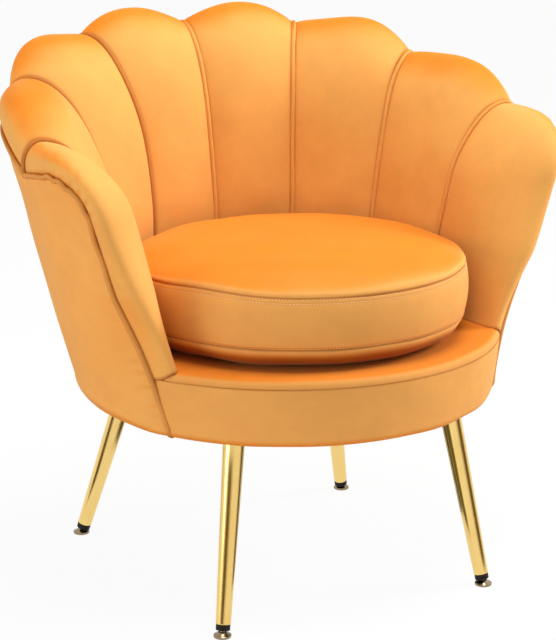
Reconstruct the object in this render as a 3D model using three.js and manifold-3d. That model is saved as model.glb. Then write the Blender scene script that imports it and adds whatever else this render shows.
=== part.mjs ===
// Scallop back chair: a round seat on four splayed metal legs, wrapped by a flared shell of eight
// upholstered channels, with a loose round cushion. Millimetres, +Z up, the front faces -Y.
// Angles round the seat are measured from the back (+Y), positive towards +X.
import * as THREE from "three";
import { mergeVertices } from "three/addons/utils/BufferGeometryUtils.js";
import Module from "manifold-3d";

const wasm = await Module();
wasm.setup();

// Driving dimensions

const fit = 0.3; // gap between pieces that touch
const slack = 1; // gap round what passes through a hole
const weld = 0.003; // corners closer than this are one

// seat base
const underside = 264; // height of the base's lowest face
const skin = 3; // thickness of the outer cover, velvet over board
const footRadius = 291; // outer radius of the base at its foot
const frontBendRadius = 14; // radius that turns the border under the base
const sideBendRadius = 34; // the same round the sides and the back
const hemWidth = 3; // flat hem under the base, inside that radius
const borderHeight = 82; // from the underside to the border's stitched top seam
const borderPad = 5; // thickness of the front border
const deckEdgeInset = 12; // rounding of the deck's front edge
const ringHeight = 18; // plywood base ring
const ringWidth = 72;
const hoopHeight = 56; // bent seat hoop that stands on the base ring
const hoopMargin = 5; // from the foot's radius in to the hoop
const hoopThickness = 22;
const strapWidth = 50; // webbing
const strapThickness = 1.6;
const strapPitch = 110;
const strapMargin = 14; // from the foot's radius in to the straps' ends
const deckMargin = 14; // and to the edge of the deck under the channels, at the lower rail
const deckPadHeight = 6;
const deckCoverThickness = 2.5;
const dustThickness = 1;

// shell wall: it leans out by a share of its height, and less towards the top
const footLevel = underside + skin + slack; // height at which footRadius is measured
const backLeanShare = 0.235;
const sideLeanShare = 0.3;
const frontLeanShare = 0.29;
const borderLeanShare = 0.09;
const wallCurlShare = 0.233;
const frontTuck = 13; // the wall draws in by this at the arms, low down
const tuckHeight = 190; // height of that hollow above the foot
const tuckAngle = 98; // where it starts
const borderBlendAngle = 10; // arc over which the border swings out to meet the wall
const frameDepth = 22; // radial depth of the rails and uprights
const frameClear = 1.5; // between them and the curved covers on both sides
const channelDepth = 96; // from the wall's outside to the seams between channels
const channelPuffDepth = 17; // how far a channel swells past its seams
const rimWidth = 28; // from the top of the rim out to the wall
const rimDrop = 43; // from the top of the rim down to the edge welt
const puffPowerShare = 0.7; // fullness of a channel across its width
const lowPuffShare = 0.5; // its swell where the cushion presses
const pressDepth = 12; // how far the cushion presses the padding back, from the deck up
const pressedShare = 0.6; // share of the straight inside that it reaches

// shell outline, right half: seams between channels, from the centre of the back to the arm
const seamAngles = [0, 28.5, 57.5, 89];
const seamRimHeights = [486, 477, 431, 382]; // of the rim on each seam, above the underside
const seamBendHeights = [150, 142, 122, 100]; // height over which the inside turns into the rim
const crestHeights = [13, 11, 9]; // how far each channel's crest stands above that
const armFootAngle = 121.4; // where the front edge of the shell meets the underside
const armTopAngle = 110; // where that edge turns into the shoulder
const armTopDepth = 84; // and how far below the outermost seam's rim it does
const armSweepShare = 0.51; // share of the edge's run that is straight, the rest curves in
const shoulderAngle = 100; // where the shoulder levels off
const shoulderRiseHeight = 49; // and how far above that turn
// the arm roll's section, each value at the deck, below the shoulder and on top of it
const armInnerSwellShares = [0.9, 0.68, 0.4]; // handle at its seam, as a share of its width
const armOuterSwellShares = [0.52, 0.52, 0.46]; // handle at the welt
const armCreaseAngles = [2, 30, 6]; // how steeply it leaves its seam
const armProudAngles = [0, 26, 30]; // how far it leans out of the wall at the welt

// seams and piping
const weltRadius = 3;
const weltGroove = 4.4; // half width of the gap that the edge welt sits in
const weltProud = 1;
const pipeRadius = 2.6;
const pipeProud = 1;

// frame
const railHeight = 28;
const uprightWidth = 18;
const railAngle = 112; // half the arc of the lower rail
const topRailOverhang = 4.5; // degrees by which the top rail runs past the shoulder's angle
const railBelowWelt = 12;
const uprightAngles = [-89, -45, 0, 45, 89];
const armPostMargin = 8; // from the arm post to the front edge of the cover

// cushion
const cushionOffset = 32; // its centre lies forward of the seat's centre
const cushionClearance = 11.8; // from its side to the seams of the arms
const cushionSideBulge = 3;
const boxingBottom = 27; // height of the bottom seam above the deck
const boxingHeight = 73;
const crownHeight = 31;
const crownShoulder = 17;
const restMargin = 70; // from its side to the flat part on which it rests
const panelThickness = 1.4;
const zipAngle = 45; // half the arc of the zip at the back of the boxing
const zipWidth = 10;
const zipThickness = 1.2;
const sliderLength = 12;
const sliderWidth = 7;
const sliderThickness = 2.4;
const sliderMargin = 3; // degrees from the slider to the end of the tape
const pullWidth = 4;
const pullLength = 18;

// legs
const legTopRadius = 15;
const legFootRadius = 10.2;
const legWall = 1.8;
const frontLegInset = 55; // from the foot's radius in to the leg's top
const frontLegAngle = 135.84;
const frontLegSplay = [39.6, -41.7]; // from the top to the foot, sideways and forwards
const backLegInset = 50.3;
const backLegAngle = 42.14;
const backLegSplay = [61.5, 64.5];
const plateSize = 40;
const plateThickness = 3;
const spigotLength = 22;
const plugHeight = 8;
const plugDepth = 14;
const plugRadius = 9.6;
const glideRadius = 12;
const glideHeight = 9;
const glideChamfer = 1.6;
const glideNeck = 5.4;
const stemRadius = 4;
const stemLength = 34;

// Levels that follow from them

const dustTop = underside + dustThickness;
const plateBottom = underside + skin + fit;
const plateTop = plateBottom + plateThickness;
const ringBottom = plateTop + fit;
const ringTop = ringBottom + ringHeight;
const hoopBottom = ringTop + fit;
const hoopTop = hoopBottom + hoopHeight;
const strapLow = hoopTop + fit;
const strapHigh = strapLow + strapThickness + fit;
const padBottom = strapHigh + strapThickness + fit;
const padTop = padBottom + deckPadHeight;
const deckBottom = padTop + fit;
const deckTop = deckBottom + deckCoverThickness;
const borderTop = underside + borderHeight;
const channelBottom = deckTop + fit;
const cushionBottom = deckTop + fit;
const bottomSeam = cushionBottom + boxingBottom;
const topSeam = bottomSeam + boxingHeight;
const seamRims = seamRimHeights.map((rise) => underside + rise);
const shellHeight = seamRims[0] - footLevel; // to the highest seam
const armTopHeight = seamRims[3] - armTopDepth;
const shoulderHeight = armTopHeight + shoulderRiseHeight;

// Radii that follow from the foot's

const ringOuter = footRadius - frontBendRadius;
const hoopOuter = footRadius - hoopMargin;
const strapRadius = footRadius - strapMargin;
const deckRadius = footRadius - deckMargin;

// Materials

const finish = (color, roughness, metalness = 0) =>
  new THREE.MeshStandardMaterial({ color, roughness, metalness });
const velvet = finish(0xe8933c, 0.85);
const velvetPiping = finish(0xd9822f, 0.8);
const cambric = finish(0x1d1c1b, 0.95);
const plywood = finish(0xc9a26b, 0.75);
const foam = finish(0xe9e0c4, 0.95);
const elastic = finish(0x4a4038, 0.9);
const gold = finish(0xd8b356, 0.22, 1);
const steel = finish(0x8d8a84, 0.4, 1);
const blackPlastic = finish(0x161514, 0.45);
const nickel = finish(0xb7a988, 0.25, 1);

// Geometry helpers

const rad = THREE.MathUtils.degToRad;
const mix = THREE.MathUtils.lerp;
const at = (radius, angle, z) =>
  new THREE.Vector3(radius * Math.sin(angle), radius * Math.cos(angle), z);

function signedVolume(geometry) {
  const p = geometry.getAttribute("position");
  const corner = (i) => new THREE.Vector3().fromBufferAttribute(p, geometry.index.getX(i));
  let sum = 0;
  for (let i = 0; i < geometry.index.count; i += 3)
    sum += corner(i).dot(corner(i + 1).cross(corner(i + 2)));
  return sum;
}

// A closed geometry with shared vertices, no empty triangles and its faces pointing out.
function closedGeometry(points, triangles) {
  const raw = new THREE.BufferGeometry().setFromPoints(points).setIndex(triangles);
  const merged = mergeVertices(raw, weld);
  const kept = [];
  for (let i = 0; i < merged.index.count; i += 3) {
    const [a, b, c] = [0, 1, 2].map((k) => merged.index.getX(i + k));
    if (a !== b && b !== c && c !== a) kept.push(a, b, c);
  }
  merged.setIndex(kept);
  if (signedVolume(merged) < 0) {
    for (let i = 0; i < kept.length; i += 3) [kept[i + 1], kept[i + 2]] = [kept[i + 2], kept[i + 1]];
    merged.setIndex(kept);
  }
  merged.computeVertexNormals();
  return merged;
}

// The solid between two surfaces given on one grid: face(i, j) is the outside and back(i, j) the inside.
function wallSolid(columns, rows, face, back) {
  const points = [];
  const triangles = [];
  const id = (side, i, j) => (side * (columns + 1) + i) * (rows + 1) + j;
  const quad = (a, b, c, d) => triangles.push(a, b, c, a, c, d);
  for (const surface of [face, back])
    for (let i = 0; i <= columns; i++)
      for (let j = 0; j <= rows; j++) points.push(surface(i, j));
  for (let i = 0; i < columns; i++)
    for (let j = 0; j < rows; j++) {
      quad(id(0, i, j), id(0, i + 1, j), id(0, i + 1, j + 1), id(0, i, j + 1));
      quad(id(1, i, j), id(1, i, j + 1), id(1, i + 1, j + 1), id(1, i + 1, j));
    }
  for (let i = 0; i < columns; i++) {
    quad(id(0, i + 1, 0), id(0, i, 0), id(1, i, 0), id(1, i + 1, 0));
    quad(id(0, i, rows), id(0, i + 1, rows), id(1, i + 1, rows), id(1, i, rows));
  }
  for (let j = 0; j < rows; j++) {
    quad(id(0, 0, j), id(0, 0, j + 1), id(1, 0, j + 1), id(1, 0, j));
    quad(id(0, columns, j + 1), id(0, columns, j), id(1, columns, j), id(1, columns, j + 1));
  }
  return closedGeometry(points, triangles);
}

// A round cord through the points, with its rings square to the route; outward(p) keeps them unturned.
function cordSolid(route, radius, sides, outward) {
  const points = [];
  const triangles = [];
  route.forEach((p, k) => {
    const ahead = route[Math.min(k + 1, route.length - 1)];
    const behind = route[Math.max(k - 1, 0)];
    const along = ahead.clone().sub(behind).normalize();
    const side = new THREE.Vector3().crossVectors(along, outward(p)).normalize();
    const up = new THREE.Vector3().crossVectors(side, along);
    for (let s = 0; s < sides; s++) {
      const turn = (2 * Math.PI * s) / sides;
      points.push(
        p.clone().addScaledVector(side, radius * Math.cos(turn)).addScaledVector(up, radius * Math.sin(turn)),
      );
    }
  });
  for (let k = 0; k + 1 < route.length; k++)
    for (let s = 0; s < sides; s++) {
      const [a, b] = [k * sides + s, k * sides + ((s + 1) % sides)];
      triangles.push(a, b, b + sides, a, b + sides, a + sides);
    }
  const last = (route.length - 1) * sides;
  for (let s = 1; s + 1 < sides; s++) triangles.push(0, s + 1, s, last, last + s, last + s + 1);
  return closedGeometry(points, triangles);
}

// A disc-like solid whose section, from the axis below to the axis above, changes with the angle.
function turnedSolid(segments, sectionAt) {
  const points = [];
  const triangles = [];
  const size = sectionAt(0).length;
  for (let k = 0; k < segments; k++) {
    const angle = (2 * Math.PI * k) / segments;
    sectionAt(angle).forEach(([r, z]) => points.push(at(r, angle, z)));
  }
  for (let k = 0; k < segments; k++)
    for (let j = 0; j + 1 < size; j++) {
      const [a, b] = [k * size + j, ((k + 1) % segments) * size + j];
      triangles.push(a, b, b + 1, a, b + 1, a + 1);
    }
  return closedGeometry(points, triangles);
}

const lathe = (profile, segments) => {
  const turned = new THREE.LatheGeometry(
    profile.map(([r, z]) => new THREE.Vector2(r, z)),
    segments,
  );
  turned.rotateX(Math.PI / 2);
  turned.deleteAttribute("normal");
  turned.deleteAttribute("uv");
  const merged = mergeVertices(turned, weld);
  const p = merged.getAttribute("position");
  const points = Array.from({ length: p.count }, (_, i) => new THREE.Vector3().fromBufferAttribute(p, i));
  return closedGeometry(points, Array.from(merged.index.array));
};

const toSolid = (geometry) => {
  const bare = geometry.clone();
  bare.deleteAttribute("normal");
  bare.deleteAttribute("uv");
  const merged = mergeVertices(bare, weld);
  return new wasm.Manifold(
    new wasm.Mesh({
      numProp: 3,
      vertProperties: merged.getAttribute("position").array,
      triVerts: new Uint32Array(merged.index.array),
    }),
  );
};
const fromSolid = (solid) => {
  const mesh = solid.getMesh();
  const geometry = new THREE.BufferGeometry()
    .setAttribute("position", new THREE.BufferAttribute(mesh.vertProperties, mesh.numProp))
    .setIndex(new THREE.BufferAttribute(mesh.triVerts, 1));
  geometry.computeVertexNormals();
  return geometry;
};

const chair = new THREE.Group();
function add(name, geometry, material, parent = chair) {
  const mesh = new THREE.Mesh(geometry, material);
  mesh.name = name;
  parent.add(mesh);
  return mesh;
}

// Shell: the wall, its rim and its outline

// Value at a place between keys, each key a [place, value] pair, with smooth joins.
function keyed(place, keys) {
  const next = keys.findIndex(([key]) => key >= place);
  if (next === 0) return keys[0][1];
  if (next < 0) return keys[keys.length - 1][1];
  const [[a, low], [b, high]] = [keys[next - 1], keys[next]];
  return mix(low, high, THREE.MathUtils.smoothstep(place, a, b));
}
const degrees = (angle) => THREE.MathUtils.radToDeg(Math.abs(angle));
const leanKeys = [
  [0, backLeanShare],
  [seamAngles[2], sideLeanShare],
  [seamAngles[3], sideLeanShare],
  [armFootAngle, frontLeanShare],
];
const leanShare = (angle) => keyed(degrees(angle), leanKeys);
function wallRadius(angle, z) {
  const climb = z - footLevel;
  const hollow = Math.sin(Math.PI * THREE.MathUtils.clamp(climb / tuckHeight, 0, 1));
  const tuck = frontTuck * hollow * THREE.MathUtils.smoothstep(degrees(angle), tuckAngle, armFootAngle);
  return footRadius - tuck + leanShare(angle) * climb * (1 - (wallCurlShare * climb) / shellHeight);
}
// The border stands steeper than the wall, and meets it at the front edges of the shell.
function borderRadius(angle, z) {
  const turn = degrees(Math.PI - Math.abs(Math.PI - angle));
  const lean = THREE.MathUtils.smoothstep(turn, armFootAngle, armFootAngle + borderBlendAngle);
  const centre = footRadius + borderLeanShare * (z - footLevel);
  return mix(wallRadius(rad(armFootAngle), z), centre, lean);
}

// Straight-line value between the seams, and where an angle lies across its channel (-1 to 1).
function acrossChannel(angle) {
  const turn = Math.min(degrees(angle), seamAngles[3]);
  const k = Math.max(seamAngles.findIndex((seam) => seam >= turn), 1) - 1;
  const share = (turn - seamAngles[k]) / (seamAngles[k + 1] - seamAngles[k]);
  return { k, share, u: 2 * share - 1 };
}
function seamLine(angle, values) {
  const { k, share } = acrossChannel(angle);
  return mix(values[k], values[k + 1], share);
}
function rimHeight(angle) {
  const { k, u } = acrossChannel(angle);
  return seamLine(angle, seamRims) + crestHeights[k] * Math.cos((u * Math.PI) / 2);
}
const weltHeight = (angle) => rimHeight(angle) - rimDrop;

// The shell's section at one angle, from the deck up the inside, over the rim and down to the welt:
// t runs 0-1 up the straight inside, 1-2 round into the rim and 2-3 over it. The second value is
// the direction in which the upholstery swells.
function section(angle, t, swell = 0) {
  const rim = rimHeight(angle);
  const rounding = seamLine(angle, seamBendHeights);
  const drop = rimDrop - weltGroove;
  let [z, inset, outR, outZ] = [0, 0, -1, 0];
  if (t <= 1) {
    z = mix(channelBottom, rim - rounding, t);
    inset = channelDepth - pressDepth * (1 - THREE.MathUtils.smoothstep(t, 0, pressedShare));
    outZ = leanShare(angle);
  } else if (t <= 2) {
    const turn = ((t - 1) * Math.PI) / 2;
    z = rim - rounding + rounding * Math.sin(turn);
    inset = rimWidth + (channelDepth - rimWidth) * Math.cos(turn);
    [outR, outZ] = [-rounding * Math.cos(turn), (channelDepth - rimWidth) * Math.sin(turn)];
  } else {
    const turn = ((3 - t) * Math.PI) / 2;
    z = rim - drop + drop * Math.sin(turn);
    inset = rimWidth - rimWidth * Math.cos(turn);
    [outR, outZ] = [drop * Math.cos(turn), rimWidth * Math.sin(turn)];
  }
  const length = Math.hypot(outR, outZ);
  const radius = wallRadius(angle, z) - inset;
  return at(radius + (swell * outR) / length, angle, z + (swell * outZ) / length);
}

// Front edge of the shell on the right side: angle in degrees and height, t as in section().
// 0-1 up the arm front, 1-2 round the shoulder, 2-3 level to the outermost seam.
const edgeEnd = () => ({ angle: seamAngles[3], z: seamRims[3] - rimDrop });
function armEdgeAngle(z) {
  const run = (armTopHeight - z) / (armTopHeight - underside);
  const sweep = armFootAngle - armTopAngle;
  return armTopAngle + sweep * (armSweepShare * run + (1 - armSweepShare) * run * run);
}
function armEdge(t, start = channelBottom) {
  if (t <= 1) {
    const z = mix(start, armTopHeight, t);
    return { angle: armEdgeAngle(z), z };
  }
  if (t <= 2) {
    const turn = ((t - 1) * Math.PI) / 2;
    return {
      angle: mix(shoulderAngle, armTopAngle, Math.cos(turn)),
      z: mix(armTopHeight, shoulderHeight, Math.sin(turn)),
    };
  }
  const end = edgeEnd();
  return { angle: mix(shoulderAngle, end.angle, t - 2), z: mix(shoulderHeight, end.z, t - 2) };
}
// The same edge moved by an offset within the wall's surface, away from the cover.
const edgeStepShare = 0.02; // step in t over which the edge's direction is taken
function armEdgePoint(t, offset, start) {
  const before = armEdge(Math.max(t - edgeStepShare, 0), start);
  const after = armEdge(Math.min(t + edgeStepShare, 3), start);
  const here = armEdge(t, start);
  const radius = wallRadius(rad(here.angle), here.z);
  const along = new THREE.Vector2(rad(after.angle - before.angle) * radius, after.z - before.z).normalize();
  const away = t > 2 ? new THREE.Vector2(0, 1) : new THREE.Vector2(along.y, -along.x);
  const angle = rad(here.angle) + (offset * away.x) / radius;
  const z = here.z + offset * away.y;
  return { angle, z, away };
}

// Channels

const pipeClear = pipeRadius + 2 * fit;
const stepsUp = [4, 5, 3]; // steps up the inside, round into the rim and over it
const rowShares = stepsUp.flatMap((count, part) =>
  Array.from({ length: count }, (_, i) => part + i / count),
).concat(3);
const rows = rowShares.length - 1;
const columns = 8;
const frameOuter = skin + frameClear; // from the wall's outside to the frame
const frameInner = frameOuter + frameDepth;
const backInset = frameInner + frameClear; // and to the back of the padding

// Back of the padding: up the frame's inside, then over the top rail to the welt.
function paddingBack(angle, t) {
  const top = seamLine(angle, seamRims) - rimDrop - railBelowWelt + frameClear;
  const climb = Math.min(t / 2, 1);
  const over = Math.max(t - 2, 0);
  const low = mix(channelBottom, top, climb);
  const endHeight = weltHeight(angle) + weltGroove;
  const z = mix(low, endHeight, over);
  return at(wallRadius(angle, z) - mix(backInset, skin, over), angle, z);
}
const puffAt = (u) => channelPuffDepth * Math.pow(Math.max(1 - u * u, 0), puffPowerShare);
function backChannel(k) {
  const place = (i, t) => {
    const u = -Math.cos((Math.PI * i) / columns);
    const middle = section(rad((seamAngles[k] + seamAngles[k + 1]) / 2), t);
    const seamAllowance = pipeClear / Math.hypot(middle.x, middle.y);
    const [low, high] = [rad(seamAngles[k]) + seamAllowance, rad(seamAngles[k + 1]) - seamAllowance];
    return { u, angle: mix(low, high, (u + 1) / 2) };
  };
  const pressed = (t) => mix(lowPuffShare, 1, THREE.MathUtils.smoothstep(t, 0, pressedShare));
  const fade = (t) => (t > 2 ? Math.sin(((3 - t) * Math.PI) / 2) : pressed(t));
  const face = (i, j) => {
    const { u, angle } = place(i, rowShares[j]);
    return section(angle, rowShares[j], puffAt(u) * fade(rowShares[j]));
  };
  const back = (i, j) => paddingBack(place(i, rowShares[j]).angle, rowShares[j]);
  return wallSolid(columns, rows, face, back);
}

// Arm channel: each of its sections is a Bezier curve from the outermost seam to the front edge. It
// leaves the seam straight beside the cushion, swells above it and flattens over the shoulder.
const armValue = (t, values) => keyed(t, values.map((value, place) => [place, value]));
function armChannel() {
  const seamAngle = rad(seamAngles[3]);
  const seamPoint = (t) => {
    const p = section(seamAngle, t);
    const turn = pipeClear / Math.hypot(p.x, p.y);
    return section(seamAngle + turn, t);
  };
  const beside = (edge, inset) => {
    const angle = Math.max(edge.angle, seamAngle + pipeClear / footRadius);
    return at(wallRadius(angle, edge.z) - inset, angle, edge.z);
  };
  const face = (i, j) => {
    const t = rowShares[j];
    const share = (1 - Math.cos((Math.PI * i) / columns)) / 2;
    const start = seamPoint(t);
    const edge = armEdgePoint(t, weltGroove);
    const end = beside(edge, 0);
    const width = start.distanceTo(end);
    const swelling = section(seamAngle, t, 1).sub(section(seamAngle, t)).normalize();
    const forward = at(1, seamAngle + Math.PI / 2, 0);
    const crease = rad(armValue(t, armCreaseAngles));
    const leave = forward.multiplyScalar(Math.cos(crease)).addScaledVector(swelling, Math.sin(crease));
    const sideways = at(1, edge.angle + Math.PI / 2, 0);
    const proud = rad(armValue(t, armProudAngles));
    const arrive = sideways
      .multiplyScalar(edge.away.x)
      .add(new THREE.Vector3(0, 0, edge.away.y))
      .multiplyScalar(Math.cos(proud))
      .add(at(Math.sin(proud), edge.angle, 0));
    const curve = new THREE.CubicBezierCurve3(
      start,
      start.clone().addScaledVector(leave, armValue(t, armInnerSwellShares) * width),
      end.clone().addScaledVector(arrive, armValue(t, armOuterSwellShares) * width),
      end,
    );
    return curve.getPoint(share);
  };
  const corner = 5; // column at which the back of the padding turns round the arm post
  const back = (i, j) => {
    const t = rowShares[j];
    const low = paddingBack(seamAngle + pipeClear / footRadius, t);
    const behind = beside(armEdgePoint(t, -armPostMargin / 2), backInset);
    behind.setZ(Math.max(behind.z, channelBottom));
    const edge = beside(armEdgePoint(t, weltGroove), skin);
    if (i <= corner) return low.lerp(behind, t > 2 ? 0 : i / corner);
    return behind.lerp(edge, (i - corner) / (columns - corner));
  };
  return wallSolid(columns, rows, face, back);
}

function mirrored(geometry) {
  const p = geometry.getAttribute("position");
  const mirror = (_, i) => new THREE.Vector3(-p.getX(i), p.getY(i), p.getZ(i));
  const points = Array.from({ length: p.count }, mirror);
  return closedGeometry(points, Array.from(geometry.index.array));
}
const channels = [0, 1, 2].map(backChannel).concat(armChannel());
channels.forEach((geometry, k) => {
  add("channel_right_" + (k + 1), geometry, velvet);
  add("channel_left_" + (k + 1), mirrored(geometry), velvet);
});

// Seam piping, one cord in each of the seven seams

const cordSides = 6;
const outwards = (p) => at(1, Math.atan2(p.x, p.y), 0);
function seamPiping(angle) {
  const route = rowShares.map((t) => section(angle, t, pipeProud));
  return cordSolid(route, pipeRadius, cordSides, (p) => outwards(p).setZ(1));
}
seamAngles.forEach((angle, k) => {
  if (k === 0) add("seam_piping_centre", seamPiping(0), velvetPiping);
  else {
    add("seam_piping_right_" + k, seamPiping(rad(angle)), velvetPiping);
    add("seam_piping_left_" + k, seamPiping(-rad(angle)), velvetPiping);
  }
});

// Edge welt: up one arm front, over the scallops and down the other

const edgeSteps = [8, 5, 2];
const scallopSteps = 6;
function halfWelt() {
  const foot = underside + frontBendRadius;
  const route = [];
  edgeSteps.forEach((count, part) => {
    for (let i = 0; i < count; i++) {
      const { angle, z } = armEdgePoint(part + i / count, 0, foot);
      route.push(at(wallRadius(angle, z) + weltProud, angle, z));
    }
  });
  for (let k = 3; k > 0; k--)
    for (let i = 0; i < scallopSteps; i++) {
      const angle = rad(mix(seamAngles[k], seamAngles[k - 1], i / scallopSteps));
      route.push(at(wallRadius(angle, weltHeight(angle)) + weltProud, angle, weltHeight(angle)));
    }
  return route;
}
const rightWelt = halfWelt();
const weltTop = at(wallRadius(0, weltHeight(0)) + weltProud, 0, weltHeight(0));
const leftWelt = rightWelt.map((p) => new THREE.Vector3(-p.x, p.y, p.z)).reverse();
const weltRoute = [...rightWelt, weltTop, ...leftWelt];
add("edge_welt", cordSolid(weltRoute, weltRadius, cordSides, outwards), velvetPiping);

// Outer cover: from the hem under the base up the wall to the welt

const hemSteps = 3;
const wallSteps = 8;
const armFrontSteps = 5; // of them, up to the shoulder
const hemInner = wallRadius(0, underside + sideBendRadius) - sideBendRadius - hemWidth;
const coverRows = 1 + hemSteps + wallSteps;
const sideColumns = 6;
const backColumns = 5; // to each channel
// Section of the wall's foot: hem, then round the bottom edge. Depth moves it into the wall.
function footSection(row, radiusAt, rounding, depth) {
  const centre = radiusAt(underside + rounding) - rounding;
  if (row === 0) return [hemInner, underside + depth];
  const turn = (((row - 1) / hemSteps) * Math.PI) / 2;
  const reach = rounding - depth;
  return [centre + reach * Math.sin(turn), underside + rounding - reach * Math.cos(turn)];
}
// Grid columns: the left arm side, six channels' width of back, and the right arm side.
const coverColumns = 2 * (sideColumns + (seamAngles.length - 1) * backColumns);
function coverPlace(i, row) {
  const side = Math.min(i, coverColumns - i) < sideColumns;
  const mirror = i < coverColumns / 2 ? -1 : 1;
  const step = Math.max(row - hemSteps - 1, 0);
  const share = step / wallSteps;
  const seamFoot = underside + sideBendRadius;
  if (!side) {
    const place = Math.abs(i - coverColumns / 2) / backColumns;
    const k = Math.min(Math.floor(place), 2);
    const angle = rad(mix(seamAngles[k], seamAngles[k + 1], place - k));
    const z = mix(seamFoot, weltHeight(angle) - weltGroove, share);
    return { angle: mirror * angle, z, rounding: sideBendRadius };
  }
  const out = 1 - Math.min(i, coverColumns - i) / sideColumns;
  const above = (2 * (step - armFrontSteps)) / (wallSteps - armFrontSteps);
  const t = step <= armFrontSteps ? step / armFrontSteps : 1 + above;
  const edge = armEdgePoint(t, -weltGroove, underside + frontBendRadius);
  const seam = { angle: rad(seamAngles[3]), z: mix(seamFoot, edgeEnd().z - weltGroove, share) };
  return {
    angle: mirror * mix(seam.angle, edge.angle, out),
    z: mix(seam.z, edge.z, out),
    rounding: mix(sideBendRadius, frontBendRadius, out),
  };
}
function coverPoint(i, row, depth) {
  const { angle, z, rounding } = coverPlace(i, row);
  if (row > hemSteps) return at(wallRadius(angle, z) - depth, angle, z);
  const [r, low] = footSection(row, (level) => wallRadius(angle, level), rounding, depth);
  return at(r, angle, low);
}
const coverFace = (depth) => (i, j) => coverPoint(i, j, depth);
add("outer_cover", wallSolid(coverColumns, coverRows, coverFace(0), coverFace(skin)), velvet);

// Front border: the same foot, up to the stitched seam, between the two ends of the welt

const borderColumns = 18;
const borderSteps = 3;
const borderRows = 1 + hemSteps + borderSteps;
function borderPoint(i, row, depth) {
  const level = row <= hemSteps + 1 ? 0 : (row - hemSteps - 1) / (borderRows - hemSteps - 1);
  const z = mix(underside + frontBendRadius, borderTop, level);
  const gap = weltGroove / footRadius;
  const end = rad(armEdgeAngle(row > hemSteps ? z : underside + frontBendRadius)) + gap;
  const angle = mix(end, 2 * Math.PI - end, i / borderColumns);
  if (row > hemSteps) return at(borderRadius(angle, z) - depth, angle, z);
  const [r, low] = footSection(row, (level) => borderRadius(angle, level), frontBendRadius, depth);
  return at(r, angle, low);
}
const borderFace = (depth) => (i, j) => borderPoint(i, j, depth);
add("front_border", wallSolid(borderColumns, borderRows, borderFace(0), borderFace(borderPad)), velvet);

// Seat base inside the covers

const band = (inner, outer, low, high) => [
  [inner, low],
  [outer, low],
  [outer, high],
  [inner, high],
  [inner, low],
];
const disc = (radius, low, high) => [
  [0, low],
  [radius, low],
  [radius, high],
  [0, high],
];
const ringSegments = 48;
add("base_ring", lathe(band(ringOuter - ringWidth, ringOuter, ringBottom, ringTop), ringSegments), plywood);
const hoopBand = band(hoopOuter - hoopThickness, hoopOuter, hoopBottom, hoopTop);
add("seat_hoop", lathe(hoopBand, ringSegments), plywood);

for (const [name, low, turn] of [
  ["webbing_lengthways_", strapLow, 0],
  ["webbing_crossways_", strapHigh, Math.PI / 2],
])
  for (const place of [-1, 0, 1]) {
    const farSide = Math.abs(place) * strapPitch + strapWidth / 2;
    const length = 2 * Math.sqrt(strapRadius * strapRadius - farSide * farSide);
    const strap = new THREE.BoxGeometry(strapWidth, length, strapThickness);
    const mesh = add(name + (place + 2), strap, elastic);
    mesh.rotation.z = turn;
    mesh.position.set(
      turn ? 0 : place * strapPitch,
      turn ? place * strapPitch : 0,
      low + strapThickness / 2,
    );
  }

// The deck reaches the border in front and stops at the lower rail behind it.
const frontShare = (angle) => {
  const turn = degrees(Math.PI - Math.abs(Math.PI - angle));
  return THREE.MathUtils.smoothstep(turn, railAngle, armFootAngle);
};
add(
  "deck_pad",
  turnedSolid(ringSegments, (angle) => {
    const reach = mix(deckRadius, borderRadius(angle, borderTop) - borderPad, frontShare(angle));
    return disc(reach - deckEdgeInset - slack, padBottom, padTop);
  }),
  foam,
);
add(
  "deck_cover",
  turnedSolid(ringSegments, (angle) => {
    const share = frontShare(angle);
    const lip = borderTop + fit;
    const edge = borderRadius(angle, borderTop);
    const outer = mix(deckRadius, edge, share);
    const inner = mix(deckRadius, edge - borderPad, share);
    const low = mix(deckBottom, lip, share);
    const round = [1, 2, 3].map((step) => {
      const turn = (step * Math.PI) / 6;
      return [
        mix(deckRadius, outer - deckEdgeInset * (1 - Math.cos(turn)), share),
        mix(deckTop, lip + (deckTop - lip) * Math.sin(turn), share),
      ];
    });
    const under = [
      [0, deckBottom],
      [inner - deckEdgeInset, deckBottom],
      [inner, low],
      [outer, low],
    ];
    return [...under, ...round, [0, deckTop]];
  }),
  velvet,
);

// Frame of the shell

const lowRailTop = hoopTop + fit + railHeight;
function railSolid(count, angleAt, lowAt, highAt) {
  const corner = (inset) => (i, j) => {
    const angle = angleAt(i);
    const z = j ? highAt(angle) : lowAt(angle);
    return at(wallRadius(angle, z) - inset, angle, z);
  };
  return wallSolid(count, 1, corner(frameOuter), corner(frameInner));
}
const railColumns = 36;
const lowerRail = (i) => rad(mix(-railAngle, railAngle, i / railColumns));
add("lower_rail", railSolid(railColumns, lowerRail, () => hoopTop + fit, () => lowRailTop), plywood);

const topRailEnd = shoulderAngle + topRailOverhang;
function topRailHeight(angle) {
  const turn = THREE.MathUtils.radToDeg(Math.abs(angle));
  if (turn <= seamAngles[3]) return seamLine(angle, seamRims) - rimDrop - railBelowWelt;
  return edgeEnd().z - railBelowWelt;
}
const topRail = (i) => rad(mix(-topRailEnd, topRailEnd, i / railColumns));
add(
  "top_rail",
  railSolid(railColumns, topRail, (angle) => topRailHeight(angle) - railHeight, topRailHeight),
  plywood,
);

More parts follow.
